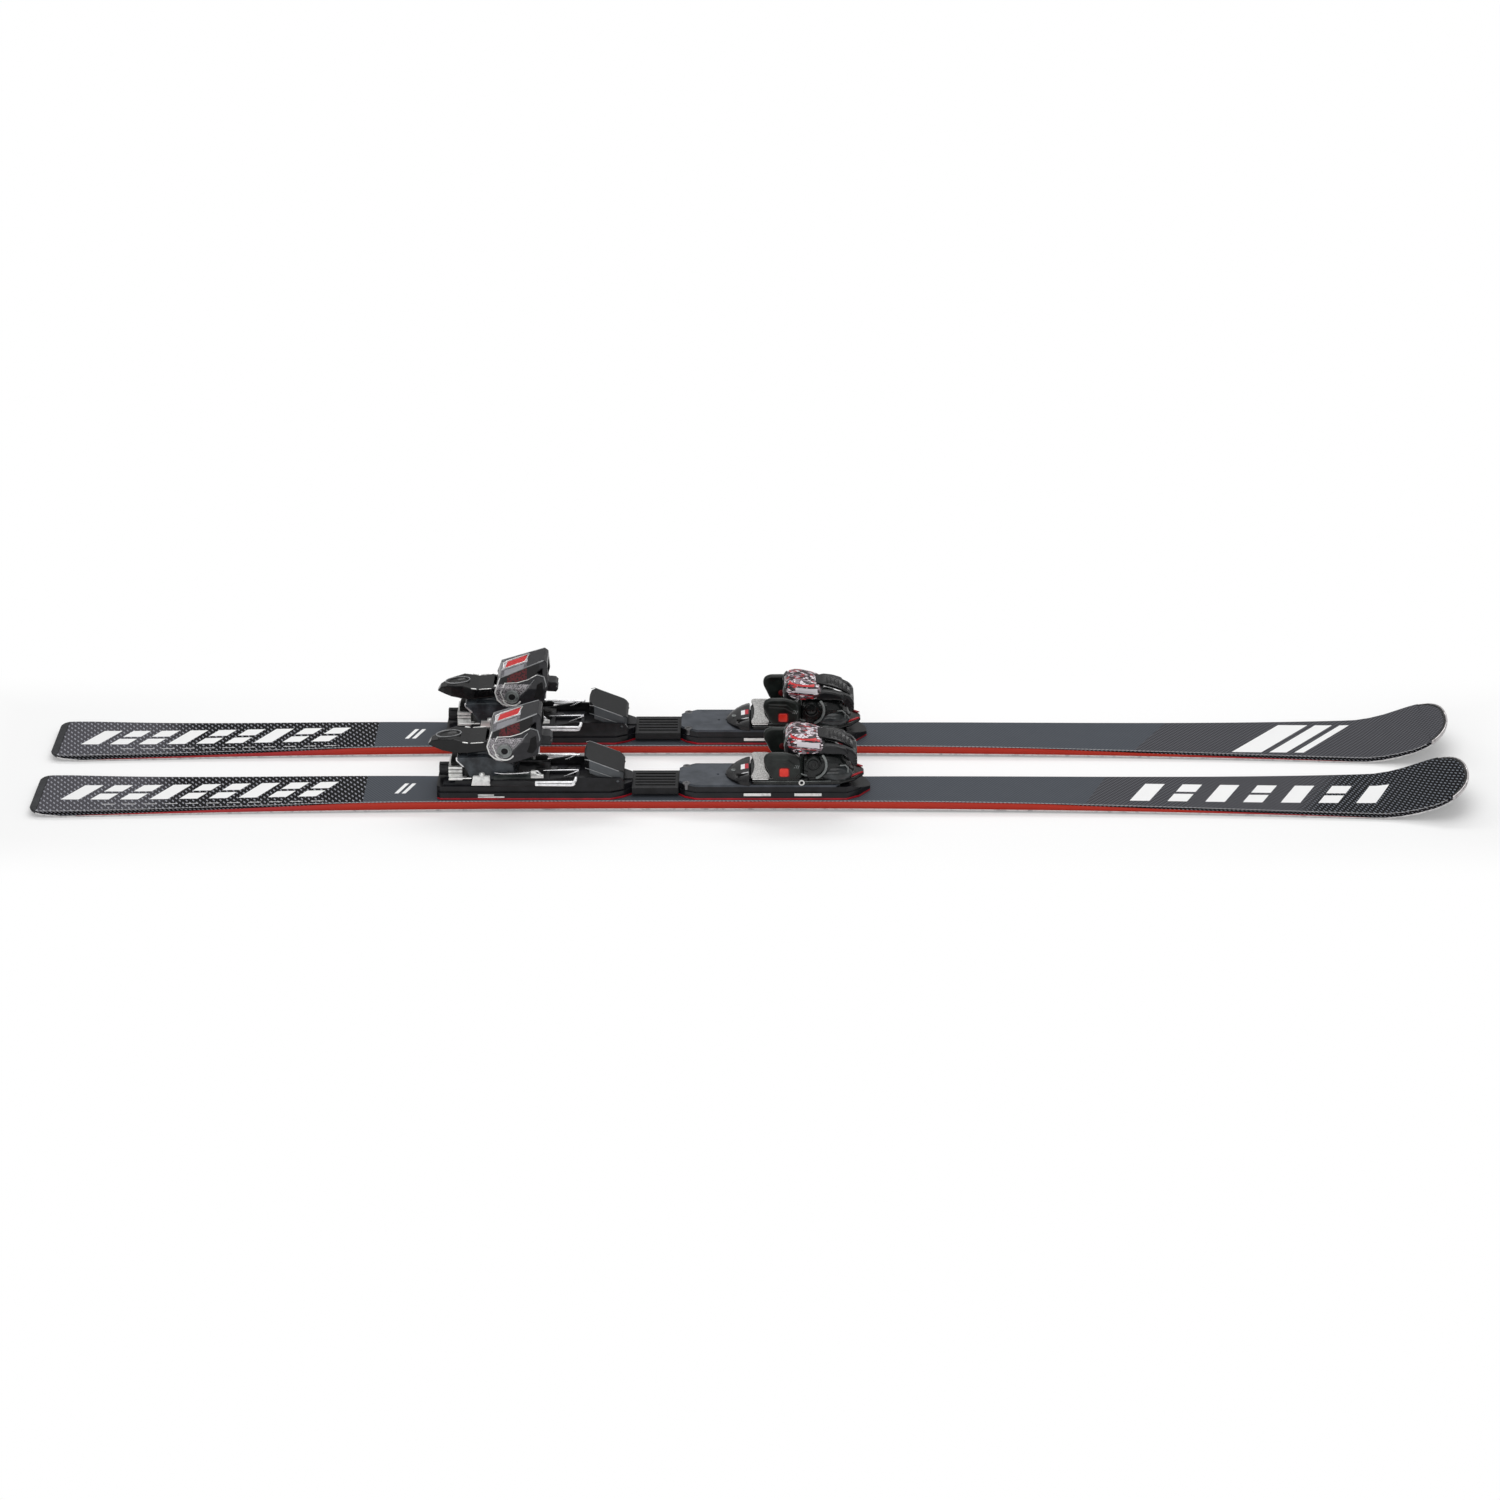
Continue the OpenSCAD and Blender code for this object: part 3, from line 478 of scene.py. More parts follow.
PAINT = {
    "base": plastic("base", rgb(16, 16, 18), rgb(26, 26, 28), 0.6),
    "edge": metal("edge_steel", rgb(206, 204, 204), rgb(160, 160, 162), 0.3, metallic=0.7),
    "core": plastic("core", rgb(190, 150, 100), rgb(214, 176, 122), 0.7, 2.0),
    "sidewall": sidewall(),
    "guard": plastic("guard_black", rgb(8, 8, 9), rgb(20, 20, 22), 0.25, coat=0.3),
    "guard_rim": metal("guard_rim", rgb(196, 192, 192), rgb(150, 146, 146), 0.25, metallic=0.6),
    "tail_cap": plastic("tail_cap", rgb(30, 31, 34), rgb(44, 45, 48), 0.4),
    "plate": plastic("plate", rgb(12, 12, 15), rgb(24, 24, 28), 0.3, coat=0.1),
    "rim": plastic("rim_red", rgb(128, 8, 26), rgb(170, 16, 32), 0.3, coat=0.1),
    "bright": metal("bright_metal", rgb(232, 232, 230), rgb(196, 196, 196), 0.24, metallic=0.7),
    "chrome": metal("chrome", rgb(226, 226, 228), rgb(180, 180, 184), 0.1),
    "rail": plastic("rail", rgb(10, 10, 12), rgb(22, 22, 25), 0.36),
    "track": plastic("track", rgb(58, 62, 68), rgb(72, 76, 83), 0.5),
    "heel_track": plastic("heel_track", rgb(22, 23, 26), rgb(38, 39, 43), 0.4),
    "screw": metal("screw", rgb(110, 110, 112), rgb(60, 60, 62), 0.3),
    "toe_body": plastic("toe_body", rgb(10, 12, 12), rgb(28, 31, 31), 0.24, coat=0.2),
    "rim_bright": plastic("rim_bright", rgb(150, 16, 28), rgb(186, 26, 38), 0.3, coat=0.2),
    "arc": plastic("arc_grey", rgb(84, 88, 88), rgb(128, 132, 131), 0.26, coat=0.3),
    "trim": plastic("trim_grey", rgb(120, 122, 124), rgb(162, 163, 165), 0.28),
    "panel": plastic("panel", rgb(34, 38, 38), rgb(56, 61, 60), 0.24, coat=0.2),
    "bar": plastic("bar", rgb(8, 8, 10), rgb(18, 18, 20), 0.26, coat=0.1),
    "lobe": plastic("lobe", rgb(30, 32, 33), rgb(62, 66, 68), 0.16, coat=0.3),
    "wing": plastic("wing", rgb(14, 17, 16), rgb(34, 39, 37), 0.28, coat=0.1),
    "grip": knurled("grip", rgb(60, 62, 62), rgb(150, 152, 152), 1.5),
    "button": plastic("button_red", rgb(206, 40, 30), rgb(226, 62, 46), 0.35, coat=0.2),
    "recess": plastic("recess_red", rgb(110, 14, 20), rgb(84, 10, 16), 0.5),
    "rest": knurled("boot_rest", rgb(150, 149, 147), rgb(206, 205, 203), 1.3, 0.25),
    "column": plastic("column", rgb(30, 33, 37), rgb(62, 67, 72), 0.24, coat=0.15),
    "heel_body": plastic("heel_body", rgb(12, 12, 14), rgb(28, 28, 31), 0.28),
    "lever": plastic("lever", rgb(2, 2, 3), rgb(8, 9, 11), 0.2, coat=0.15),
    "knob": plastic("knob", rgb(20, 20, 22), rgb(46, 46, 48), 0.4),
    "pad": pad_finish(),
    "rubber": plastic("rubber", rgb(8, 8, 9), rgb(18, 18, 20), 0.7),
    "dial": plastic("dial_white", rgb(214, 214, 212), rgb(236, 236, 234), 0.4),
    "wire": metal("wire", rgb(244, 244, 246), rgb(214, 214, 216), 0.2, metallic=0.35),
    "foot": plastic("foot", rgb(20, 20, 22), rgb(34, 34, 36), 0.5),
}
for side in CENTRE:
    PAINT["topsheet_" + side] = topsheet(side)
    PAINT["hood_" + side] = hood_finish(side)
    PAINT["cup_" + side] = cup_finish(side)
    PAINT["lock_" + side] = lock_finish(side)


# ---------- shapes, as (points, faces) in millimetres ----------

def joined(*shapes):
    """Several shapes as one."""
    points, faces = [], []
    for p, f in shapes:
        faces += [[i + len(points) for i in face] for face in f]
        points += p
    return points, faces


def offset_outline(points, inset):
    """A closed outline moved in by inset along its corners' bisectors."""
    area = sum(a[0] * b[1] - b[0] * a[1] for a, b in zip(points, points[1:] + points[:1]))
    turn = 1 if area > 0 else -1
    result = []
    for i, p in enumerate(points):
        before = Vector(p) - Vector(points[i - 1])
        after = Vector(points[(i + 1) % len(points)]) - Vector(p)
        n1 = Vector((-before.y, before.x)).normalized() * turn
        n2 = Vector((-after.y, after.x)).normalized() * turn
        bisector = n1 + n2
        if bisector.length < 1e-6:
            bisector = n1
        bisector.normalize()
        scale = 1 / max(0.5, bisector.dot(n1))
        q = Vector(p) + bisector * inset * scale
        result.append((q.x, q.y))
    return result


PLANES = {
    "plan": lambda u, v, w: (u, v, w),
    "side": lambda u, v, w: (u, w, v),
    "front": lambda u, v, w: (w, u, v),
}


def loft(rings):
    """Closed rings of the same count, joined one after the other, and closed at both ends."""
    n = len(rings[0])
    points = [p for ring in rings for p in ring]
    last = len(points) - n
    faces = []
    for start in range(0, last, n):
        for k in range(n):
            j = (k + 1) % n
            faces.append([start + k, start + j, start + n + j, start + n + k])
    faces.append(list(range(n))[::-1])
    faces.append([last + k for k in range(n)])
    return points, faces


def around(count):
    """The angles that divide a full turn into count steps."""
    return [2 * math.pi * k / count for k in range(count)]


def stack(outline, profile, plane="plan"):
    """An outline carried through levels, each (inset, level), and closed at both ends."""
    to = PLANES[plane]
    return loft([[to(u, v, level) for u, v in offset_outline(outline, inset)] for inset, level in profile])


def slab(outline, a, b, edge=0.8, plane="side"):
    """An outline from level a to level b with rounded edges."""
    e = min(edge, (b - a) / 2.01)
    return stack(outline, [(e, a), (0.3 * e, a + 0.3 * e), (0, a + e), (0, b - e),
                           (0.3 * e, b - 0.3 * e), (e, b)], plane)


def rounded(outline, radius, steps=3):
    """An outline with its corners replaced by short curves."""
    result = []
    for i, p in enumerate(outline):
        p = Vector(p)
        a, b = Vector(outline[i - 1]) - p, Vector(outline[(i + 1) % len(outline)]) - p
        r = min(radius, a.length * 0.45, b.length * 0.45)
        start, end = p + a.normalized() * r, p + b.normalized() * r
        for k in range(steps + 1):
            t = k / steps
            q = start * (1 - t) ** 2 + p * 2 * t * (1 - t) + end * t ** 2
            result.append((q.x, q.y))
    return result


def mirrored(half):
    """A closed outline from its half on the +Y side."""
    return half + [(x, -y) for x, y in reversed(half)]


DOME = ((0.45, 0.9), (0.85, 0.5))    # rings of a wire's end: share of the radius, and how far out


def tube(path, radius, sides=12):
    """A round wire along a path, with domed ends."""
    path = [Vector(p) for p in path]
    stations, normal = [], None
    for i, p in enumerate(path):
        d = (path[min(i + 1, len(path) - 1)] - path[max(i - 1, 0)]).normalized()
        if normal is None:
            normal = d.orthogonal().normalized()
        normal = (normal - d * normal.dot(d)).normalized()
        stations.append((p, d, normal.copy(), radius))
    p, d, n, _ = stations[0]
    start = [(p - d * radius * out, d, n, radius * size) for size, out in DOME]
    p, d, n, _ = stations[-1]
    end = [(p + d * radius * out, d, n, radius * size) for size, out in reversed(DOME)]
    rings = []
    for p, d, n, r in start + stations + end:
        across = d.cross(n)
        rings.append([tuple(p + (n * math.cos(a) + across * math.sin(a)) * r) for a in around(sides)])
    return loft(rings)


def turned(profile, centre, axis="y", segments=40):
    """A profile of (radius, level) turned about an axis through centre."""
    rings = []
    for r, level in profile:
        ring = []
        for a in around(segments):
            u, v = r * math.cos(a), r * math.sin(a)
            offset = {"x": (level, u, v), "y": (u, level, v), "z": (u, v, level)}[axis]
            ring.append(tuple(c + o for c, o in zip(centre, offset)))
        rings.append(ring)
    return loft(rings)


def oval(x, y, z, half_y, half_z, count):
    """An upright oval at x round a middle at y and z."""
    return [(x, y + half_y * math.cos(a), z + half_z * math.sin(a)) for a in around(count)]


def arch(x, half, base, top, shoulder=0.6, steps=12):
    """A rounded cross-section at x: upright sides that turn into a crowned top."""
    spring = base + (top - base) * 0.3
    ring = [(x, half - 1.5, base), (x, half, base + 1.5)]
    for k in range(steps + 1):
        a = math.pi * k / steps
        c, d = math.cos(a), math.sin(a)
        y = half * math.copysign(abs(c) ** shoulder, c)
        ring.append((x, y, spring + (top - spring) * d ** shoulder))
    return ring + [(x, -half, base + 1.5), (x, 1.5 - half, base)]


def moulded(obj, voxel=0.6, passes=3):
    """Melts a piece made of crossing shapes into one moulded skin."""
    remesh = obj.modifiers.new("Remesh", "REMESH")
    remesh.mode = "VOXEL"
    remesh.voxel_size = voxel * MM
    remesh.use_smooth_shade = True
    smooth = obj.modifiers.new("Smooth", "SMOOTH")
    smooth.factor = 0.5
    smooth.iterations = passes
    return obj


def unchanged(shape):
    return shape


def flipped(shape):
    """A shape mirrored to the other side of the centreline."""
    points, faces = shape
    return [(x, -y, z) for x, y, z in points], faces


def on_both(shape):
    """A shape and its mirror image."""
    return joined(shape, flipped(shape))


# ---------- pieces ----------

def piece(name, shape, paint, body, replaces=(), side=None, crease=30):
    """A mesh piece from a shape. With a side it is drawn over that ski's top face and centreline."""
    points, faces = shape
    shift = (0, CENTRE[side], SKI_TOP) if side else (0, 0, 0)
    mesh = bpy.data.meshes.new(name)
    mesh.from_pydata([tuple((c + s) * MM for c, s in zip(p, shift)) for p in points], [], faces)
    work = bmesh.new()
    work.from_mesh(mesh)
    bmesh.ops.remove_doubles(work, verts=work.verts, dist=0.02 * MM)
    bmesh.ops.dissolve_degenerate(work, edges=work.edges, dist=0.01 * MM)
    bmesh.ops.recalc_face_normals(work, faces=work.faces)
    for face in work.faces:
        face.smooth = True
    work.to_mesh(mesh)
    work.free()
    mesh.materials.append(PAINT[paint])
    obj = bpy.data.objects.new(name, mesh)
    bpy.context.scene.collection.objects.link(obj)
    if crease:
        mesh.set_sharp_from_angle(angle=math.radians(crease))
    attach(obj, body)
    if replaces:
        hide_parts(*replaces)
    return obj


def carried(node, paint, bevel=0.5):
    """A CAD node shown with its own material, its outer edges bevelled."""
    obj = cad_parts[node]
    obj.data.materials.clear()
    obj.data.materials.append(PAINT[paint])
    weld = obj.modifiers.new("Weld", "WELD")
    weld.merge_threshold = 0.02 * MM
    if bevel:
        flat = obj.modifiers.new("Flat", "DECIMATE")
        flat.decimate_type = "DISSOLVE"
        flat.angle_limit = math.radians(1)
        edge = obj.modifiers.new("Bevel", "BEVEL")
        edge.width = bevel * MM
        edge.segments = 2
        edge.limit_method = "ANGLE"
        edge.angle_limit = math.radians(28)
        normals = obj.modifiers.new("Normals", "WEIGHTED_NORMAL")
        normals.keep_sharp = True
    return obj


# ---------- skis ----------

def unit(t):
    return max(0.0, min(1.0, t))


def ease(t):
    return t * t * (3 - 2 * t)


def mix(a, b, t):
    return a + (b - a) * t


def half_width(x):
    """The sidecut's half width."""
    if x > WAIST_X:
        return mix(WAIST_W, TIP_W, ((x - WAIST_X) / (SHOVEL_X - WAIST_X)) ** SIDECUT_POWER) / 2
    return mix(WAIST_W, TAIL_W, unit((WAIST_X - x) / (WAIST_X - TAIL_WIDE_X)) ** SIDECUT_POWER) / 2


def bottom_z(x):
    """The underside: the tip turned up, the tail's end lifted, and a low camber between the contacts."""
    if x > FRONT_CONTACT:
        return TIP_RISE * unit((x - FRONT_CONTACT) / (HALF_LENGTH - FRONT_CONTACT)) ** TIP_BEND
    if x < TAIL_LIFT_X:
        return TAIL_LIFT * ((TAIL_LIFT_X - x) / TAIL_RUN) ** TAIL_BEND
    t = unit((x - REAR_CONTACT - 15) / (FRONT_CONTACT - REAR_CONTACT - 30))
    return 4 * CAMBER * t * (1 - t)


def top_z(x):
    """The top face: flat under the binding, and falling to the thinner shovel, tip and tail."""
    if x > FRONT_CONTACT:
        return bottom_z(x) + mix(SHOVEL_T, TIP_T, (x - FRONT_CONTACT) / (HALF_LENGTH - FRONT_CONTACT))
    if x > FRONT_TAPER_X:
        return mix(MIDDLE_T, SHOVEL_T, ease((x - FRONT_TAPER_X) / (FRONT_CONTACT - FRONT_TAPER_X)))
    if x > REAR_TAPER_X:
        return MIDDLE_T
    return mix(MIDDLE_T, TAIL_T, ease(unit((REAR_TAPER_X - x) / (REAR_TAPER_X - REAR_CONTACT))))


def ski_outline():
    """Half of the plan outline from the tail to the tip, with the direction outwards at each point."""
    edge = [(x - HALF_LENGTH, y) for x, y in TAIL_CORNER]
    for i in range(91):
        x = mix(TAIL_WIDE_X, SHOVEL_X, i / 90)
        edge.append((x, half_width(x)))
    power = 2 / TIP_ROUNDNESS
    for i in range(1, 31):
        a = math.pi / 2 * i / 30
        along, out = math.sin(a) ** power, max(0.0, math.cos(a)) ** power
        edge.append((SHOVEL_X + TIP_LENGTH * along, TIP_W / 2 * out))
    normals = []
    for i in range(len(edge)):
        a, b = Vector(edge[max(0, i - 1)]), Vector(edge[min(len(edge) - 1, i + 1)])
        d = (b - a).normalized()
        normals.append(Vector((-d.y, d.x)))
    normals[0], normals[-1] = Vector((-1, 0)), Vector((1, 0))
    normals[1] = Vector((-1, 0.35)).normalized()
    return edge, normals


EDGE, EDGE_OUT = ski_outline()


def inset_point(i, inset):
    """A place moved in from outline row i."""
    q = Vector(EDGE[i]) - EDGE_OUT[i] * inset
    return q.x, max(0.0, q.y)


def placed(i, columns):
    """Each (inset, level) at outline row i as (x, y, level)."""
    return [(*inset_point(i, inset), level) for inset, level in columns]


def band(rows, section):
    """A closed strip on both sides of a ski: section(i) lists (inset, level) round the strip."""
    strips = [loft([[(x, sign * y, level) for x, y, level in placed(i, section(i))] for i in rows])
              for sign in (-1, 1)]
    return joined(*strips)


def across_body(rows, skirt, under):
    """A closed body from one side to the other: skirt(i) lists (inset, level) from the lower edge to the top
    face, and under(i) is the level of its flat underside."""
    rings = []
    for i in rows:
        edge = placed(i, skirt(i))
        x0, y0, z0 = edge[-1]
        x1, y1 = inset_point(i, skirt(i)[0][0] + 0.6)
        ring = [(x, -y, level) for x, y, level in edge]
        ring += [(x0, -y0 * (1 - k / 4), z0) for k in range(1, 8)]
        ring += edge[::-1]
        ring += [(x1, y1, under(i)), (x1, -y1, under(i))]
        rings.append(ring)
    return loft(rings)


def rows_between(rear_x, front_x):
    return [i for i in range(len(EDGE)) if rear_x < EDGE[i][0] < front_x]


MAIN_ROWS = [i for i in range(4, len(EDGE)) if EDGE[i][0] <= GUARD_X + 3]
TAIL_ROWS = [i for i in range(len(EDGE)) if EDGE[i][0] <= TAIL_CAP_X + 2]
GUARD_ROWS = [i for i in range(len(EDGE)) if EDGE[i][0] >= GUARD_X]
WALL_ROWS = rows_between(WALL_REAR_X - 2, WALL_FRONT_X + 2)
CORE_ROWS = rows_between(20 - HALF_LENGTH, GUARD_X)


def underside(i):
    return bottom_z(EDGE[i][0])


def top_face(i):
    return top_z(EDGE[i][0])


def low(i, inset):
    """The underside's level at a place moved in from outline row i."""
    return bottom_z(inset_point(i, inset)[0])


def high(i, inset):
    """The top face's level at a place moved in from outline row i."""
    return top_z(inset_point(i, inset)[0])


def wall_top(i):
    """Where the red sidewall ends; towards tip and tail the topsheet wraps down over more of it."""
    x = EDGE[i][0]
    share = unit((x - WALL_REAR_X) / 350) * unit((WALL_FRONT_X - x) / 400)
    return mix(underside(i) + 2.0, top_face(i) - 1.2, share)


def topsheet_skirt(i):
    wall, top = wall_top(i), top_face(i)
    return [(0.45, wall), (0.45, max(wall + 0.05, top - 1.0)), (0.6, top - 0.55), (1.1, top - 0.16),
            (2.0, top - 0.02), (3.2, top)]


def tip_sheet_skirt(i):
    rim = high(i, 4.8)
    return [(4.8, rim - 3.0), (4.8, rim - 0.9), (5.2, high(i, 5.2) - 0.35), (6.2, high(i, 6.2) - 0.25),
            (8.2, high(i, 6.2) - 0.25)]


def sidewall_section(i):
    wall, sole = wall_top(i) + 0.05, underside(i) + 2.0
    return [(0.55, wall), (0.15, sole), (4.0, sole), (4.0, wall)]


def core_skirt(i):
    return [(3.6, underside(i) + 2.1), (3.6, top_face(i) - 1.4), (4.4, top_face(i) - 1.3)]


def steel_section(i):
    z = underside(i)
    return [(0.25, z + 2.0), (0.0, z + 1.8), (0.0, z + 0.15), (0.2, z), (2.2, z), (2.2, z + 2.0)]


def base_skirt(i):
    z = underside(i)
    return [(2.2, z), (2.2, z + 1.9), (3.0, z + 1.9)]


def tip_rim_section(i):
    return [(0.5, low(i, 0)), (0.0, low(i, 0) + 0.8), (0.0, high(i, 0) - 1.8), (0.7, high(i, 0.7) - 0.7),
            (1.9, high(i, 1.9) - 0.3), (2.3, high(i, 2.3) - 0.4), (2.3, low(i, 2.3))]


def tip_guard_section(i):
    return [(2.3, low(i, 2.3)), (2.3, high(i, 2.3) - 0.3), (3.0, high(i, 3.0)), (4.4, high(i, 4.4)),
            (5.1, high(i, 5.1) - 0.4), (5.1, low(i, 5.1))]


def tip_base_skirt(i):
    return [(5.0, low(i, 5)), (5.0, low(i, 5) + 3.0), (5.6, low(i, 5.6) + 3.0)]


def tail_cap_skirt(i):
    return [(0.4, low(i, 0)), (0.0, low(i, 0) + 0.6), (0.0, high(i, 0) - 1.2), (0.6, high(i, 0.6) - 0.3),
            (1.6, high(i, 1.6))]


def build_ski(side):
    def make(name, shape, paint, replaces=(), crease=30):
        points, faces = shape
        in_place = [(x, y + CENTRE[side], z) for x, y, z in points], faces
        return piece(f"{side}_{name}", in_place, paint, "root", replaces, crease=crease)

    sheet = across_body(MAIN_ROWS, topsheet_skirt, wall_top)
    make("topsheet", sheet, "topsheet_" + side, ("topsheets",), crease=50)
    sheet = across_body(GUARD_ROWS, tip_sheet_skirt, lambda i: high(i, 5.4) - 3.0)
    make("tip_sheet", sheet, "topsheet_" + side, crease=50)
    make("sidewall", band(WALL_ROWS, sidewall_section), "sidewall", ("sidewalls",), crease=0)
    core = across_body(CORE_ROWS, core_skirt, lambda i: underside(i) + 2.1)
    make("core", core, "core", ("wood_cores",))
    make("steel_edge", band(MAIN_ROWS, steel_section), "edge", ("steel_edges",))
    make("base", across_body(MAIN_ROWS, base_skirt, underside), "base", ("ski_bases",))
    make("tip_rim", band(GUARD_ROWS, tip_rim_section), "guard_rim", ("end_guards",), crease=0)
    make("tip_guard", band(GUARD_ROWS, tip_guard_section), "guard", ("end_guards",), crease=0)
    make("tip_base", across_body(GUARD_ROWS, tip_base_skirt, lambda i: low(i, 5)), "base")
    cap = across_body(TAIL_ROWS, tail_cap_skirt, lambda i: low(i, 0.4))
    make("tail_cap", cap, "tail_cap", ("end_guards",))


for side in CENTRE:
    build_ski(side)

# ---------- plates and tracks ----------

for node, paint, bevel in (
        ("rear_plates", "plate", 0.5), ("front_plates", "plate", 0.5), ("plate_rims", "rim", 0.5),
        ("plate_bars", "bright", 0.25), ("centre_rails", "rail", 0.4), ("toe_tracks", "track", 0.4),
        ("heel_tracks", "heel_track", 0.4), ("mounting_screws", "screw", 0.2)):
    carried(node, paint, bevel)

# ---------- toe pieces ----------

def binding_maker(side):
    """A maker of one binding's pieces, which puts that side before the names of piece, body and nodes."""
    def add(name, shape, paint, body, slot, replaces=(), crease=30):
        nodes = [f"{side}_{node}" for node in replaces]
        return piece(f"{side}_{name}", shape, paint, f"{side}_{body}", nodes, side, crease)
    return add


def toe_base(add):
    """Hull, deck under the wings, housing and nose, melted into one moulding."""
    hull = stack(mirrored([(0.4, 22), (4, 33), (20, 34), (60, 34), (112, 32), (130, 23), (142, 6)]),
                 [(2.6, 20.3), (0.6, 21.6), (0, 23.2), (0, 24.6), (1.4, 26.3)])
    deck = stack(mirrored([(0.4, 22), (4, 32.6), (20, 33.6), (66, 33.6), (72, 30)]),
                 [(0.8, 25.6), (0, 26.4), (0, 28.6), (1.0, 29.6)])
    key = slab([(4, -7.7), (88, -7.7), (88, 7.7), (4, 7.7)], 17.4, 21, 0.5, "plan")
    housing = loft([arch(x, w, 24, h, 0.5) for x, w, h in
                    ((64.5, 24, 58), (66.5, 27, 60), (72, 28, 60), (98, 28, 60), (106, 26.5, 58.5),
                     (113, 24, 54), (119, 20, 48), (125, 13, 41), (129, 6, 34))])
    nose = loft([arch(x, w, 20.4, h, 0.8) for x, w, h in
                 ((108, 30, 27), (120, 27, 29), (130, 20, 28), (137, 11.5, 25.5), (141.6, 3, 22.4))])
    base = add("toe_body", joined(hull, deck, key, housing, nose), "toe_body", "toe", "toe_body",
               ("toe_base",))
    moulded(base, 0.7, 3)


def toe_lobes(add):
    """Side lobes over the spring."""
    stations = ((86, 2, 2.5, -3), (88.5, 6, 6.5, -2), (93, 8.6, 9.4, -1), (100, 10, 11.2, 0),
                (108, 10.2, 11.4, 0), (116, 9, 10, 0), (122, 6.5, 7.5, 0), (126, 3.2, 4, 0),
                (127.4, 1, 1.2, 0))
    lobe = loft([oval(x, 21.5, 31.5 + lift, half_y, half_z, 20) for x, half_y, half_z, lift in stations])
    add("toe_lobes", on_both(lobe), "lobe", "toe", "toe_body", crease=60)


def toe_bosses(add):
    """Round bosses with a stepped face, and the arcs and wires round them."""
    boss = turned([(10, 24), (10, 31.0), (9.2, 32.6), (8.0, 32.8), (7.5, 31.8), (6.4, 31.6), (5.8, 32.6),
                   (3.0, 33.2), (2.4, 32.5), (0.6, 32.6)], (78.4, 0, 49))
    add("toe_bosses", on_both(boss), "toe_body", "toe", "toe_body", crease=35)
    arc = tube([(77 + 17.5 * math.cos(a), 30.6, 47.5 + 19 * math.sin(a))
                for a in (math.radians(t) for t in range(-70, 41, 10))], 1.7, 10)
    notch = tube([(62.5, 32.6, 37), (66, 33, 35.2), (70, 33, 34.4)], 0.9, 8)
    add("toe_arcs", on_both(joined(arc, notch)), "arc", "toe", "toe_body", crease=60)
    loop = tube([(112, 26, 44.5), (118, 27, 45.5), (121.5, 27, 42), (121.5, 26.5, 35), (118, 27, 29),
                 (108, 29.5, 25.5)], 0.9, 8)
    add("toe_loops", on_both(loop), "arc", "toe", "toe_body", crease=60)


def toe_trims(add):
    """Trim lines along the hull, dials, and red points on the nose."""
    trim = tube([(3, 33.0, 26.2), (20, 34.0, 26.2), (60, 34.0, 26.2), (100, 32.4, 26.2)], 0.45, 8)
    add("toe_trims", on_both(trim), "arc", "toe", "toe_body", crease=60)
    middle = (64, 0, 24.4)
    dial = turned([(3.7, 33.2), (3.7, 34.2), (3.2, 34.5), (2.5, 34.5), (2.2, 34.0), (0.8, 34.0)], middle)
    add("toe_dials", on_both(dial), "dial", "toe", "toe_body", crease=40)
    hub = turned([(2.1, 33.9), (2.0, 34.3), (0.3, 34.4)], middle)
    add("toe_dial_hubs", on_both(hub), "rubber", "toe", "toe_body", crease=40)
    point = slab([(118, 27.6), (141, 8.4), (137.5, 8), (119, 23.6)], 26.0, 28.2, 0.7, "plan")
    add("toe_points", on_both(point), "rim_bright", "toe", "toe_body")


def toe_hood(add, side):
    """Dome, side arms and front lip, melted into one moulding."""
    stations = ((42.2, 17, 69, 0.7), (43.4, 22.5, 74.5, 0.66), (46.5, 26.6, 79.6, 0.62), (51, 28.6, 83, 0.6),
                (57.5, 29, 84.6, 0.6), (66, 29, 84, 0.6), (76, 28.8, 81.4, 0.6), (86, 27.6, 78.2, 0.62),
                (93, 25, 74, 0.66))
    dome = loft([arch(x, half, 60.4, top, shoulder) for x, half, top, shoulder in stations])
    upper = [(84, 60.4), (82, 70), (94, 73.5), (106, 72), (118, 68), (122, 60), (118, 59), (110, 60.4)]
    lower = [(108, 61), (106, 71), (118, 68), (127, 63.5), (132.6, 57), (132.6, 47), (130.6, 42),
             (127, 41.6), (123, 51), (118, 58.6)]
    upper_arm = slab(rounded(upper, 2.5), 19.0, 29.0, 2.6)
    lower_arm = slab(rounded(lower, 2.5), 15.0, 24.5, 2.6)
    arms = on_both(joined(upper_arm, lower_arm))
    front = [(-20, 47), (-20, 58), (-10, 61), (10, 61), (20, 58), (20, 47), (15, 44), (12, 53.8), (-12, 53.8),
             (-15, 44)]
    lip = slab(front, 126.5, 132.8, 1.4, "front")
    hood = add("toe_hood_shell", joined(dome, arms, lip), "hood_" + side, "toe", "hood", ("toe_hood",))
    moulded(hood, 0.6, 3)


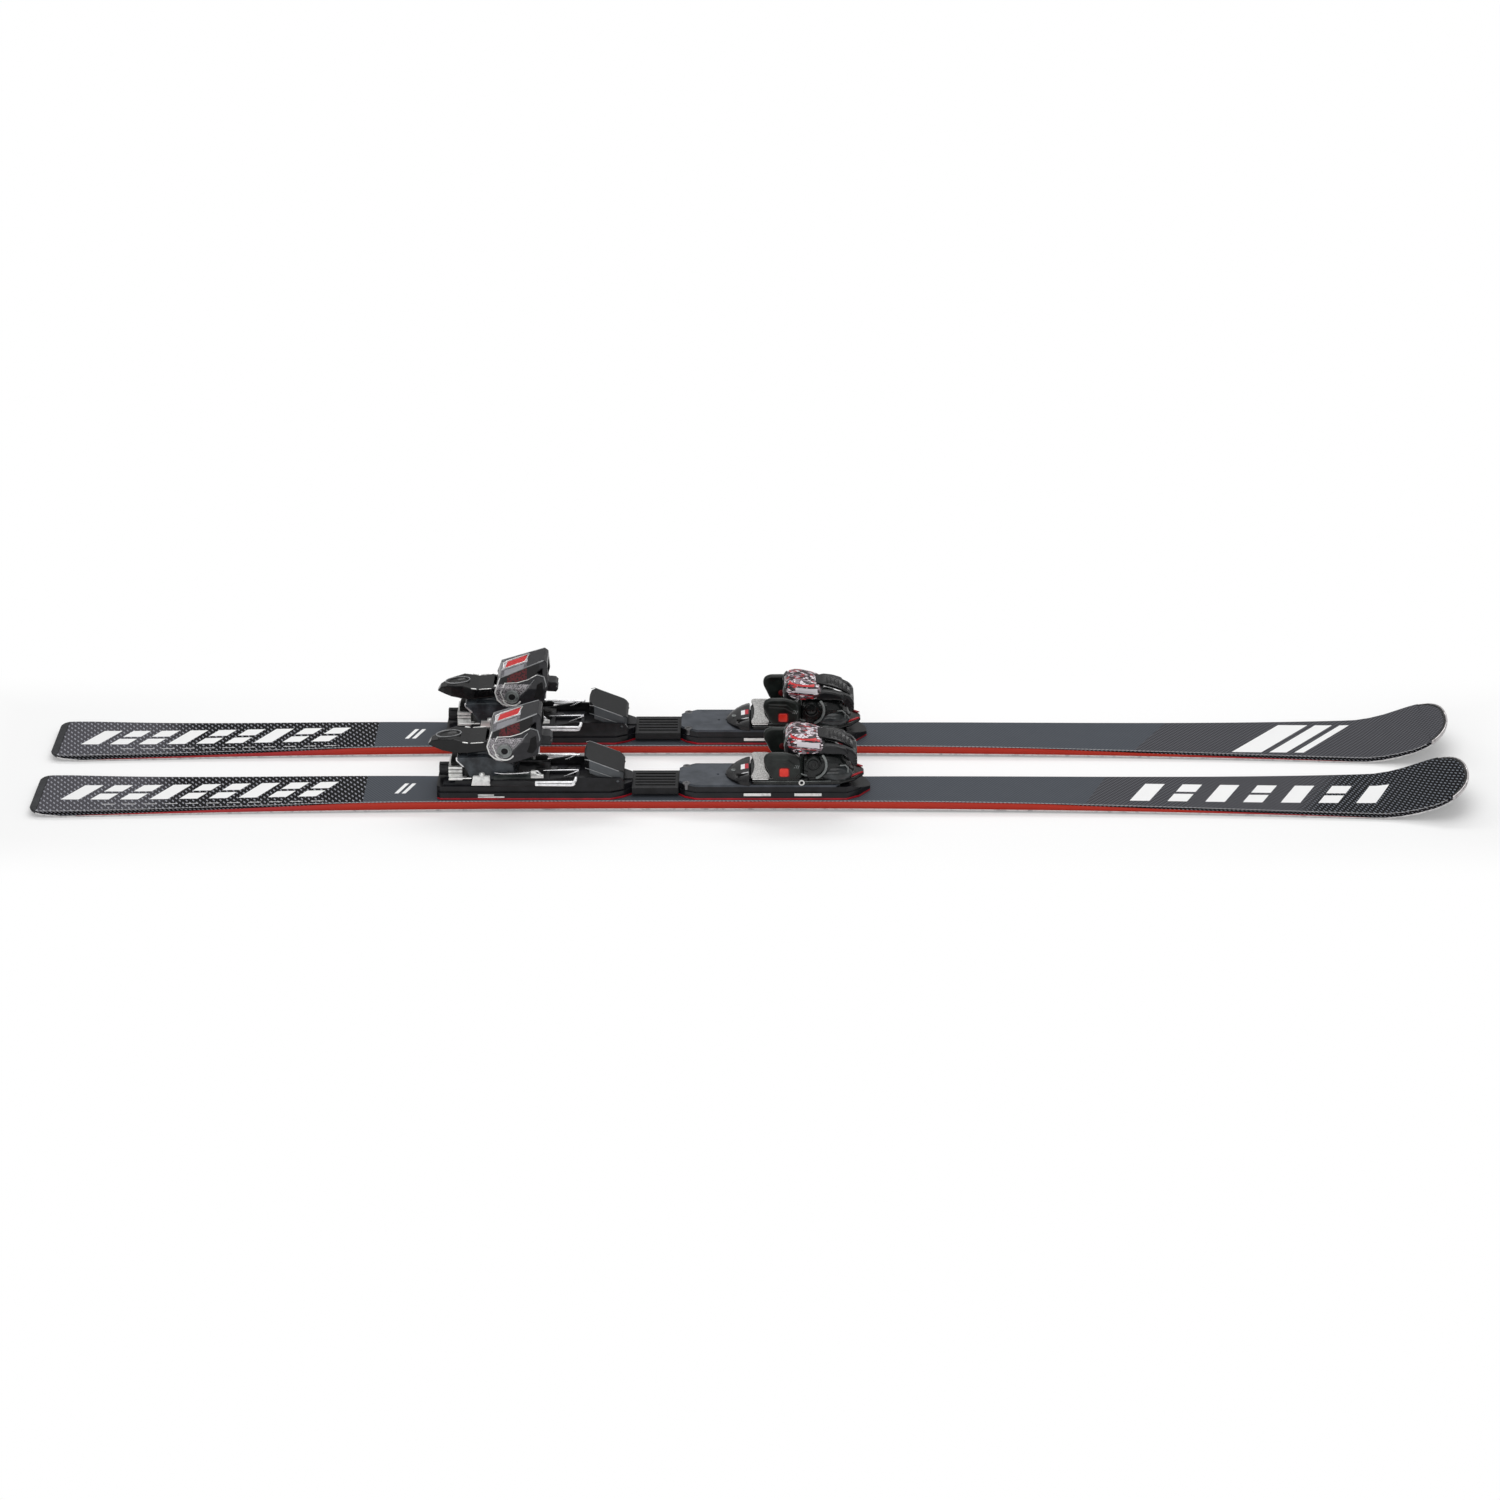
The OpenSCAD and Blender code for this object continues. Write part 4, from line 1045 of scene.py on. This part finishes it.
def hood_details(add):
    """Ribbed top bar, steps in the front, and the rim at the back."""
    bar_line = [(84, 79.4), (92, 78.2), (104, 75.2), (115, 70.8), (124, 65.2), (131.6, 57.6)]
    bar = loft([[(x, -w, z - 3.4), (x, -w, z - 0.9), (x, 1.2 - w, z),
                 (x, w - 1.2, z), (x, w, z - 0.9), (x, w, z - 3.4)]
                for (x, z), w in zip(bar_line, (13, 13.5, 13.5, 13, 12, 10))])
    ribs = [tube([(x, -9.5, z + 0.1), (x, 9.5, z + 0.1)], 0.9, 8) for x, z in
            ((99, 76.6), (104, 75.2), (109, 73.2), (114, 71.2), (119, 68.3), (124, 65.2))]
    add("toe_hood_bar", joined(bar, *ribs), "bar", "toe", "hood", crease=35)
    steps = [slab([(127.5, z), (132.9, z + 0.4), (132.9, z + 2.0), (127.5, z + 2.2)], 16, 24.8, 0.4)
             for z in (44, 48, 52)]
    add("toe_hood_steps", on_both(joined(*steps)), "bar", "toe", "hood")
    edge = tube([(44.2, 20, 64), (42.8, 20, 69), (43.6, 19, 74.4), (47, 17, 80.2)], 1.3, 10)
    add("toe_hood_edge", on_both(edge), "arc", "toe", "hood", crease=60)


def toe_lock(add, side):
    """A faceted wedge with a ring screw and a slot."""
    def facets(x, w, top):
        """Half of the wedge's section at x, from its lower edge to its ridge."""
        return [(x, w, 20.4), (x, w, 20.4 + 0.45 * (top - 20.4)), (x, 0.82 * w, top - 1.8),
                (x, 0.5 * w, top - 0.3)]

    stations = ((-29.8, 6, 22.4), (-28, 11, 23.6), (-23, 20, 26), (-17, 27, 28.4), (-11, 31.6, 30.2),
                (-5, 34.4, 31.6), (-1.2, 35.6, 32), (-0.1, 35.2, 31.2))
    wedge = loft([facets(x, -w, top) + [(x, 0, top)] + facets(x, w, top)[::-1] for x, w, top in stations])
    add("lock_wedge", wedge, "lock_" + side, "lock", "lock", ("toe_lock",), crease=28)
    ring = turned([(3.0, 24.0), (3.0, 27.5), (2.5, 27.9), (1.8, 27.9), (1.5, 27.2), (0.4, 27.2)],
                  (-20.5, -3, 0), "z", 24)
    add("lock_ring", ring, "arc", "lock", "lock", crease=40)
    slot = slab([(-17, -22.6), (-2.4, -22.6), (-2.4, -20.6), (-17, -20.6)], 28.4, 31.0, 0.2, "plan")
    add("lock_slot", slot, "rubber", "lock", "lock")


def boot_rest(add):
    """A knurled, waisted plate with a bright lower edge."""
    rest = stack(rounded(mirrored([(5.4, 5), (4.2, 18), (1.6, 29), (1.6, 34), (4, 37), (22, 37), (24.5, 34),
                                   (24, 28), (19.5, 14), (18.4, 5)]), 3.0),
                 [(0.7, 30.2), (0, 30.8), (0, 32.2), (0.8, 33.0)])
    add("boot_rest_plate", rest, "rest", "rest", "boot_rest", ("boot_rest",))
    lip = tube([(3.6, 36.7, 30.6), (22.4, 36.7, 30.6)], 0.6, 8)
    add("boot_rest_lip", on_both(lip), "bright", "rest", "boot_rest", crease=60)


def wing(add, io, turn):
    """A wing with a button in a red recess and a knurled grip on top."""
    body = io + "_wing_body"
    cheek = slab(rounded([(16.6, 58), (18.5, 64), (25, 67.4), (44, 67.6), (51, 65.6), (60.6, 62), (63, 52),
                          (62.6, 38), (56, 31), (29, 30.6), (24.5, 36.5), (21, 45), (17.6, 51.5)], 4.5),
                 32.6, 40.0, 2.8)
    root = slab(rounded([(42, 32.2), (52, 22), (60, 20.6), (66, 26), (64, 34), (56, 38), (44, 38)], 4),
                30.4, 59.8, 1.2, "plan")
    ridge = slab(rounded([(24, 56), (44, 55), (56, 48), (58, 50), (47, 59.4), (24, 60.4)], 1.4),
                 38, 41.0, 0.9)
    shell = add(f"{io}_wing_shell", turn(joined(cheek, root, ridge)), "wing", body, "wing", (f"{io}_wing",))
    moulded(shell, 0.6, 3)
    grip = slab(rounded([(46, 30), (57, 25), (62, 28), (60, 36), (52, 38.6), (46, 36)], 2),
                58.8, 61.0, 0.8, "plan")
    add(f"{io}_wing_grip", turn(grip), "grip", body, "wing")
    recess = slab(rounded([(35.4, 35.0), (49.2, 35.0), (49.2, 48.2), (35.4, 48.2)], 3.0), 37.5, 40.15, 0.4)
    add(f"{io}_wing_recess", turn(recess), "recess", body, "wing")
    plug = stack(rounded([(36.6, 36.1), (47.6, 36.1), (47.6, 47.1), (36.6, 47.1)], 2.8, 5),
                 [(0, 38.0), (0, 40.4), (0.5, 40.8), (1.4, 41.0)], "side")
    add(f"{io}_wing_button", turn(plug), "button", body, "button", (f"{io}_button",), crease=50)
    inner_plug = turned([(4.4, 33.4), (4.4, 32.6), (3.4, 32.1), (0.5, 32.0)], (41, 0, 43))
    add(f"{io}_wing_plug", turn(inner_plug), "recess", body, "wing", crease=40)
    relief = [slab([(x, z), (x + 1.3, z + 0.3), (x + 2.8, z + 4.6), (x + 1.5, z + 4.3)], 37.6, 40.8, 0.3)
              for x, z in ((54.0, 47.6), (56.2, 47.2), (58.4, 46.8))]
    add(f"{io}_wing_relief", turn(joined(*relief)), "arc", body, "wing")


# ---------- heel pieces and brakes ----------

def cup_path(places, out=0.15):
    """Places (x, z) on the cup's side, which is upright and then leans inwards."""
    return [(x, CUP_HALF_W - max(0, z - CUP_LEAN_Z) * CUP_LEAN + out, z) for x, z in places]


def heel_castings(side):
    """The pieces of the heel that keep their CAD shape."""
    carried(side + "_heel_carriage", "heel_body", 0.6)
    moulded(carried(side + "_heel_column", "column", 0), 0.8, 5)
    moulded(carried(side + "_heel_cup", "cup_" + side, 0), 0.7, 3)
    moulded(carried(side + "_stepout_lever", "lever", 0), 0.7, 5)
    moulded(carried(side + "_brake_pad", "pad", 0), 0.8, 4)
    carried(side + "_heel_screw", "screw", 0.3)
    carried(side + "_pressure_knob", "knob", 0.25)


def heel_axle(add):
    """A stepped bright ring round a hole, at both ends of the rod; the hole is filled by a black disc of
    painted shade.
    """
    head = turned([(9.0, 32.6), (9.3, 34.4), (8.9, 35.2), (7.4, 35.5), (6.9, 34.9), (6.3, 34.9), (5.9, 35.6),
                   (4.6, 35.6), (4.2, 34.0), (0.6, 33.8)], (AXLE[0], 0, AXLE[1]))
    rod = turned([(5, -33), (5, 33)], (AXLE[0], 0, AXLE[1]))
    add("axle_heads", joined(on_both(head), rod), "arc", "heel", "bright_metal", ("heel_axle",), crease=35)
    # painted shade: a black disc stands where the hole's shaded depth would be
    hole = turned([(4.1, 33.9), (3.9, 34.6), (0.4, 34.5)], (AXLE[0], 0, AXLE[1]))
    add("axle_holes", on_both(hole), "rubber", "heel", "bright_metal", crease=40)


def cup_trims(add):
    """Silver edges, black slabs of painted shade where the side openings are, and the window's frame."""
    rear = tube(cup_path([(-309, 55.4), (-316, 58), (-321.6, 63.6), (-324.4, 74), (-318.4, 91.2)]), 1.0, 10)
    second = tube(cup_path([(-306, 60), (-313.5, 63.4), (-317.6, 74), (-311.5, 85.6)]), 0.7, 8)
    brow = tube(cup_path([(-318.2, 91.6), (-300, 98.4), (-284, 104.4), (-263, 112.2)], 0.0), 0.8, 8)
    lower = tube(cup_path([(-311.5, 85.4), (-296, 86), (-283, 89.4), (-271, 95.4)]), 0.6, 8)
    fold = tube(cup_path([(-271, 95.4), (-262, 93), (-259.4, 84), (-260.4, 66)]), 0.8, 8)
    slant = tube(cup_path([(-274.5, 89.5), (-286, 77), (-293, 69.6)]), 0.45, 8)
    arc = tube([(AXLE[0] + 12.4 * math.cos(a), 33.2, AXLE[1] + 12.4 * math.sin(a))
                for a in (math.radians(t) for t in range(205, 326, 10))], 1.2, 10)
    add("cup_edges", on_both(joined(rear, second, lower, arc)), "bright", "cup", "cup", crease=60)
    add("cup_trims", on_both(joined(brow, fold, slant)), "trim", "cup", "cup", crease=60)
    # painted shade: a black slab stands where the opening in the cup's upper front shows only shade
    pocket = slab(rounded([(-271, 84), (-264, 88), (-262.6, 72), (-268, 64), (-276, 66), (-272, 76)], 2.0),
                  31.4, 33.2, 0.5)
    add("cup_pockets", on_both(pocket), "rubber", "cup", "cup")
    frame_line = [(-314.6, -4.5, 94.0), (-287, -4.5, 104.3), (-282.4, 15.5, 106.0), (-309, 17.4, 96.1),
                  (-316.2, 14, 93.4), (-314.6, -4.5, 94.0)]
    add("cup_window_frame", tube(frame_line, 0.8, 8), "bright", "cup", "cup", crease=60)


def column_and_lever_trims(add):
    """Chrome rear edge of the column, pins under the lever and the rim of its scoop, whose pale grey is a
    painted highlight for the glints on that edge.
    """
    edge = tube([(-355.6, 25.2, 43), (-359, 25.2, 46.6), (-363.4, 25.0, 51.2), (-363.2, 25.0, 54)], 1.3, 10)
    add("column_edge", on_both(edge), "chrome", "heel", "column", crease=60)
    pins = joined(tube([(-355, 22.4, 74.4), (-349.4, 22.5, 73.6)], 0.8, 8),
                  tube([(-345, 22.6, 73.4), (-330, 22.9, 74.6)], 0.6, 8))
    add("lever_pins", on_both(pins), "bright", "lever", "lever", crease=60)
    # the rim's pale grey paint is a painted highlight: it stands for glints on the scoop's edge
    rim = [(-374 + 15.5 * math.cos(a), 9.6 * math.sin(a), 76.2 + 1.4 * math.cos(a)) for a in
           around(28) + [2 * math.pi]]
    add("lever_rim", tube(rim, 0.6, 8), "trim", "lever", "lever", crease=60)


def silver_blocks(add):
    """Stacked bands behind the column, and the bent plates with their screws."""
    bands = [slab([(-374.6, -18), (-357.6, -18), (-357.6, 18), (-374.6, 18)], a, b, 0.5, "plan")
             for a, b in ((35.0, 38.4), (30.4, 33.8), (24.4, 29.2))]
    line = tube([(-372, 27.4, 27.6), (-346, 27.6, 27.6)], 0.9, 8)
    shelf = slab([(-374, 18), (-352, 18), (-357, 27.0), (-374, 27.0)], 24.4, 26.4, 0.5, "plan")
    plate = slab([(-346, 18), (-322.5, 18), (-322.5, 31), (-343.5, 31)], 27.5, 29.2, 0.4)
    ledge = slab([(-343.5, 26.2), (-322.6, 26.2), (-322.6, 29.2), (-343.5, 29.2)], 30.0, 31.4, 0.3, "plan")
    stud = turned([(3.8, 30.8), (3.8, 33), (3.2, 34.4), (2.0, 35.2), (0.4, 35.4)], (-332.4, 26.8, 0), "z", 20)
    add("silver_blocks", joined(*bands, on_both(joined(line, shelf, plate, ledge, stud))), "bright", "heel",
        "bright_metal", ("heel_blocks",), crease=35)
    cap = slab(rounded([(-372, -14), (-357, -14), (-357, 14), (-372, 14)], 2.5), 38.2, 44.0, 1.0, "plan")
    add("block_cap", cap, "rubber", "heel", "heel_body")


def carriage_details(add):
    """Panels, wires, springs and rubber blocks between the cup and the pad."""
    panel = slab(rounded([(-320, 30), (-300, 36), (-272, 36), (-264, 32), (-266, 26), (-318, 25)], 2.5),
                 26.4, 28.4, 0.8)
    add("carriage_panels", on_both(panel), "panel", "heel", "heel_body")
    curve = tube([(-316, 28.7, 35.5), (-306, 28.8, 34.2), (-290, 28.8, 34.6), (-274, 28.7, 36.0)], 0.7, 8)
    hook = tube([(-276, 24, 33), (-270, 25, 36.4), (-264, 25, 36.2), (-260, 25, 33)], 1.1, 8)
    coil = tube([(-282 + t * 0.16, 23 + 2.0 * math.cos(t), 33 + 2.0 * math.sin(t)) for t in
                 (k * 0.6 for k in range(84))], 0.5, 6)
    links = slab(rounded([(-272, 28), (-256, 28), (-256, 32), (-264, 33.5), (-266, 38), (-272, 38)], 1.0),
                 24.4, 28.9, 0.6)
    rail = tube([(-256, 21.5, 35.6), (-213, 21.5, 36.3)], 0.8, 8)
    brace = tube([(-231, 24, 28.5), (-213, 24.5, 36.4)], 0.9, 8)
    add("heel_wires", on_both(joined(curve, hook, coil, rail, brace)), "chrome", "heel", "bright_metal",
        crease=60)
    add("heel_links", on_both(links), "bright", "heel", "bright_metal")
    block = slab(rounded([(-269, 30), (-254, 30), (-252, 35), (-256, 37.6), (-268, 36)], 1.5), 17.5, 22, 1.0)
    add("rubber_blocks", on_both(block), "rubber", "heel", "heel_body")


def pad_lines(add):
    """Grey lines along the pad's edges: painted highlights where light catches them."""
    lines = joined(tube([(-204.6, 25.4, 52.2), (-200, 27.4, 52.6), (-163, 27.4, 37.4)], 0.45, 8),
                   tube([(-204.4, 27.2, 41.6), (-200, 27.6, 40.4), (-162, 27.4, 25.4)], 0.35, 8))
    add("pad_lines", on_both(lines), "trim", "pad", "pad", crease=60)


def brake_arm(add, io, turn):
    """A wire bent from its hub, and a foot with a flattened end."""
    body = io + "_arm"
    wire = joined(tube([(-278, 40, 27), (-264, 40, 27)], 1.9, 12),
                  tube([(-265, 40, 28.2), (-221, 40, 28.2), (-218.4, 40, 27.4), (-217.6, 40, 26),
                        (-218.8, 40, 24.6), (-222, 40, 24.2), (-265, 40, 24.6)], 1.5, 12),
                  tube([(-219, 39, 27), (-216.4, 36, 28.2), (-215.9, 31.9, 29.9)], 2.0, 12))
    add(f"{io}_arm_wire", turn(wire), "wire", body, "wire", (f"{io}_brake_arm",), crease=60)
    stations = ((-266, 2.4, 2.4), (-277.6, 3.0, 3.0), (-279, 4.0, 4.0), (-286, 4.1, 4.1), (-288, 3.7, 3.7),
                (-290, 4.1, 4.1), (-308, 4.1, 4.1), (-317, 3.8, 4.0), (-320.6, 2.8, 3.2), (-322, 1.2, 1.6))
    foot = loft([oval(x, 40, 27, half_y, half_z, 18) for x, half_y, half_z in stations])
    add(f"{io}_arm_foot", turn(foot), "foot", body, "foot", (f"{io}_brake_foot",), crease=50)


# ---------- both bindings ----------

def flanks(side):
    """For the +Y and then the -Y flank: which one it is, and what brings a shape drawn at +Y there."""
    yield ("outer" if OUTWARD[side] > 0 else "inner"), unchanged
    yield ("inner" if OUTWARD[side] > 0 else "outer"), flipped


def build_toe(side):
    add = binding_maker(side)
    toe_base(add)
    toe_lobes(add)
    toe_bosses(add)
    toe_trims(add)
    toe_hood(add, side)
    hood_details(add)
    carried(side + "_wing_pins", "chrome", 0.2)
    carried(side + "_toe_screw", "screw", 0.3)
    toe_lock(add, side)
    boot_rest(add)
    for io, turn in flanks(side):
        wing(add, io, turn)


def build_heel(side):
    add = binding_maker(side)
    heel_castings(side)
    heel_axle(add)
    cup_trims(add)
    column_and_lever_trims(add)
    silver_blocks(add)
    carriage_details(add)
    pad_lines(add)
    for io, turn in flanks(side):
        brake_arm(add, io, turn)


for side in CENTRE:
    build_toe(side)
    build_heel(side)

# ---------- camera, floor and light ----------

FLOOR_HALF, FLOOR_Z = 30, -0.0004
LOOK_AT = (0, 0, 0.03)

floor_mesh = bpy.data.meshes.new("floor")
corners = [(-1, -1), (1, -1), (1, 1), (-1, 1)]
floor_mesh.from_pydata([(x * FLOOR_HALF, y * FLOOR_HALF, FLOOR_Z) for x, y in corners], [], [(0, 1, 2, 3)])
floor = bpy.data.objects.new("floor", floor_mesh)
floor_mesh.materials.append(floor_finish())
bpy.context.scene.collection.objects.link(floor)


def set_up(name, data, place):
    """A camera or a lamp at a place in metres, turned to the skis."""
    obj = bpy.data.objects.new(name, data)
    obj.location = place
    obj.rotation_euler = (Vector(LOOK_AT) - Vector(place)).to_track_quat("-Z", "Y").to_euler()
    bpy.context.scene.collection.objects.link(obj)
    return obj


def lamp(name, place, size, power):
    data = bpy.data.lights.new(name, "AREA")
    data.shape = "RECTANGLE"
    data.size, data.size_y = size
    data.energy = power
    set_up(name, data, place)


camera_data = bpy.data.cameras.new("camera")
camera_data.lens = 89.8
camera_data.sensor_width = 36
camera_data.clip_start = 0.05
bpy.context.scene.camera = set_up("camera", camera_data, (0, -4.275, 2.087))

lamp("back", (0.0, 1.5, 1.9), (3.8, 0.5), 22)
lamp("front", (-0.5, -2.6, 1.2), (2.8, 0.8), 15)
lamp("top", (0.2, -0.1, 2.4), (3.6, 1.8), 30)

world = bpy.data.worlds.new("world")
bpy.context.scene.world = world
world.use_nodes = True
nodes, links = world.node_tree.nodes, world.node_tree.links
nodes.clear()
# the camera sees plain white, and the skis are lit by a dimmer white
out_node = nodes.new("ShaderNodeOutputWorld")
mixer = nodes.new("ShaderNodeMixShader")
soft, white = nodes.new("ShaderNodeBackground"), nodes.new("ShaderNodeBackground")
soft.inputs["Strength"].default_value = 0.45
soft.inputs["Color"].default_value = (1, 1, 1, 1)
white.inputs["Color"].default_value = (1, 1, 1, 1)
white.inputs["Strength"].default_value = 1.0
ray = nodes.new("ShaderNodeLightPath")
links.new(ray.outputs["Is Camera Ray"], mixer.inputs[0])
links.new(soft.outputs[0], mixer.inputs[1])
links.new(white.outputs[0], mixer.inputs[2])
links.new(mixer.outputs[0], out_node.inputs[0])

bpy.context.scene.view_settings.view_transform = "Standard"
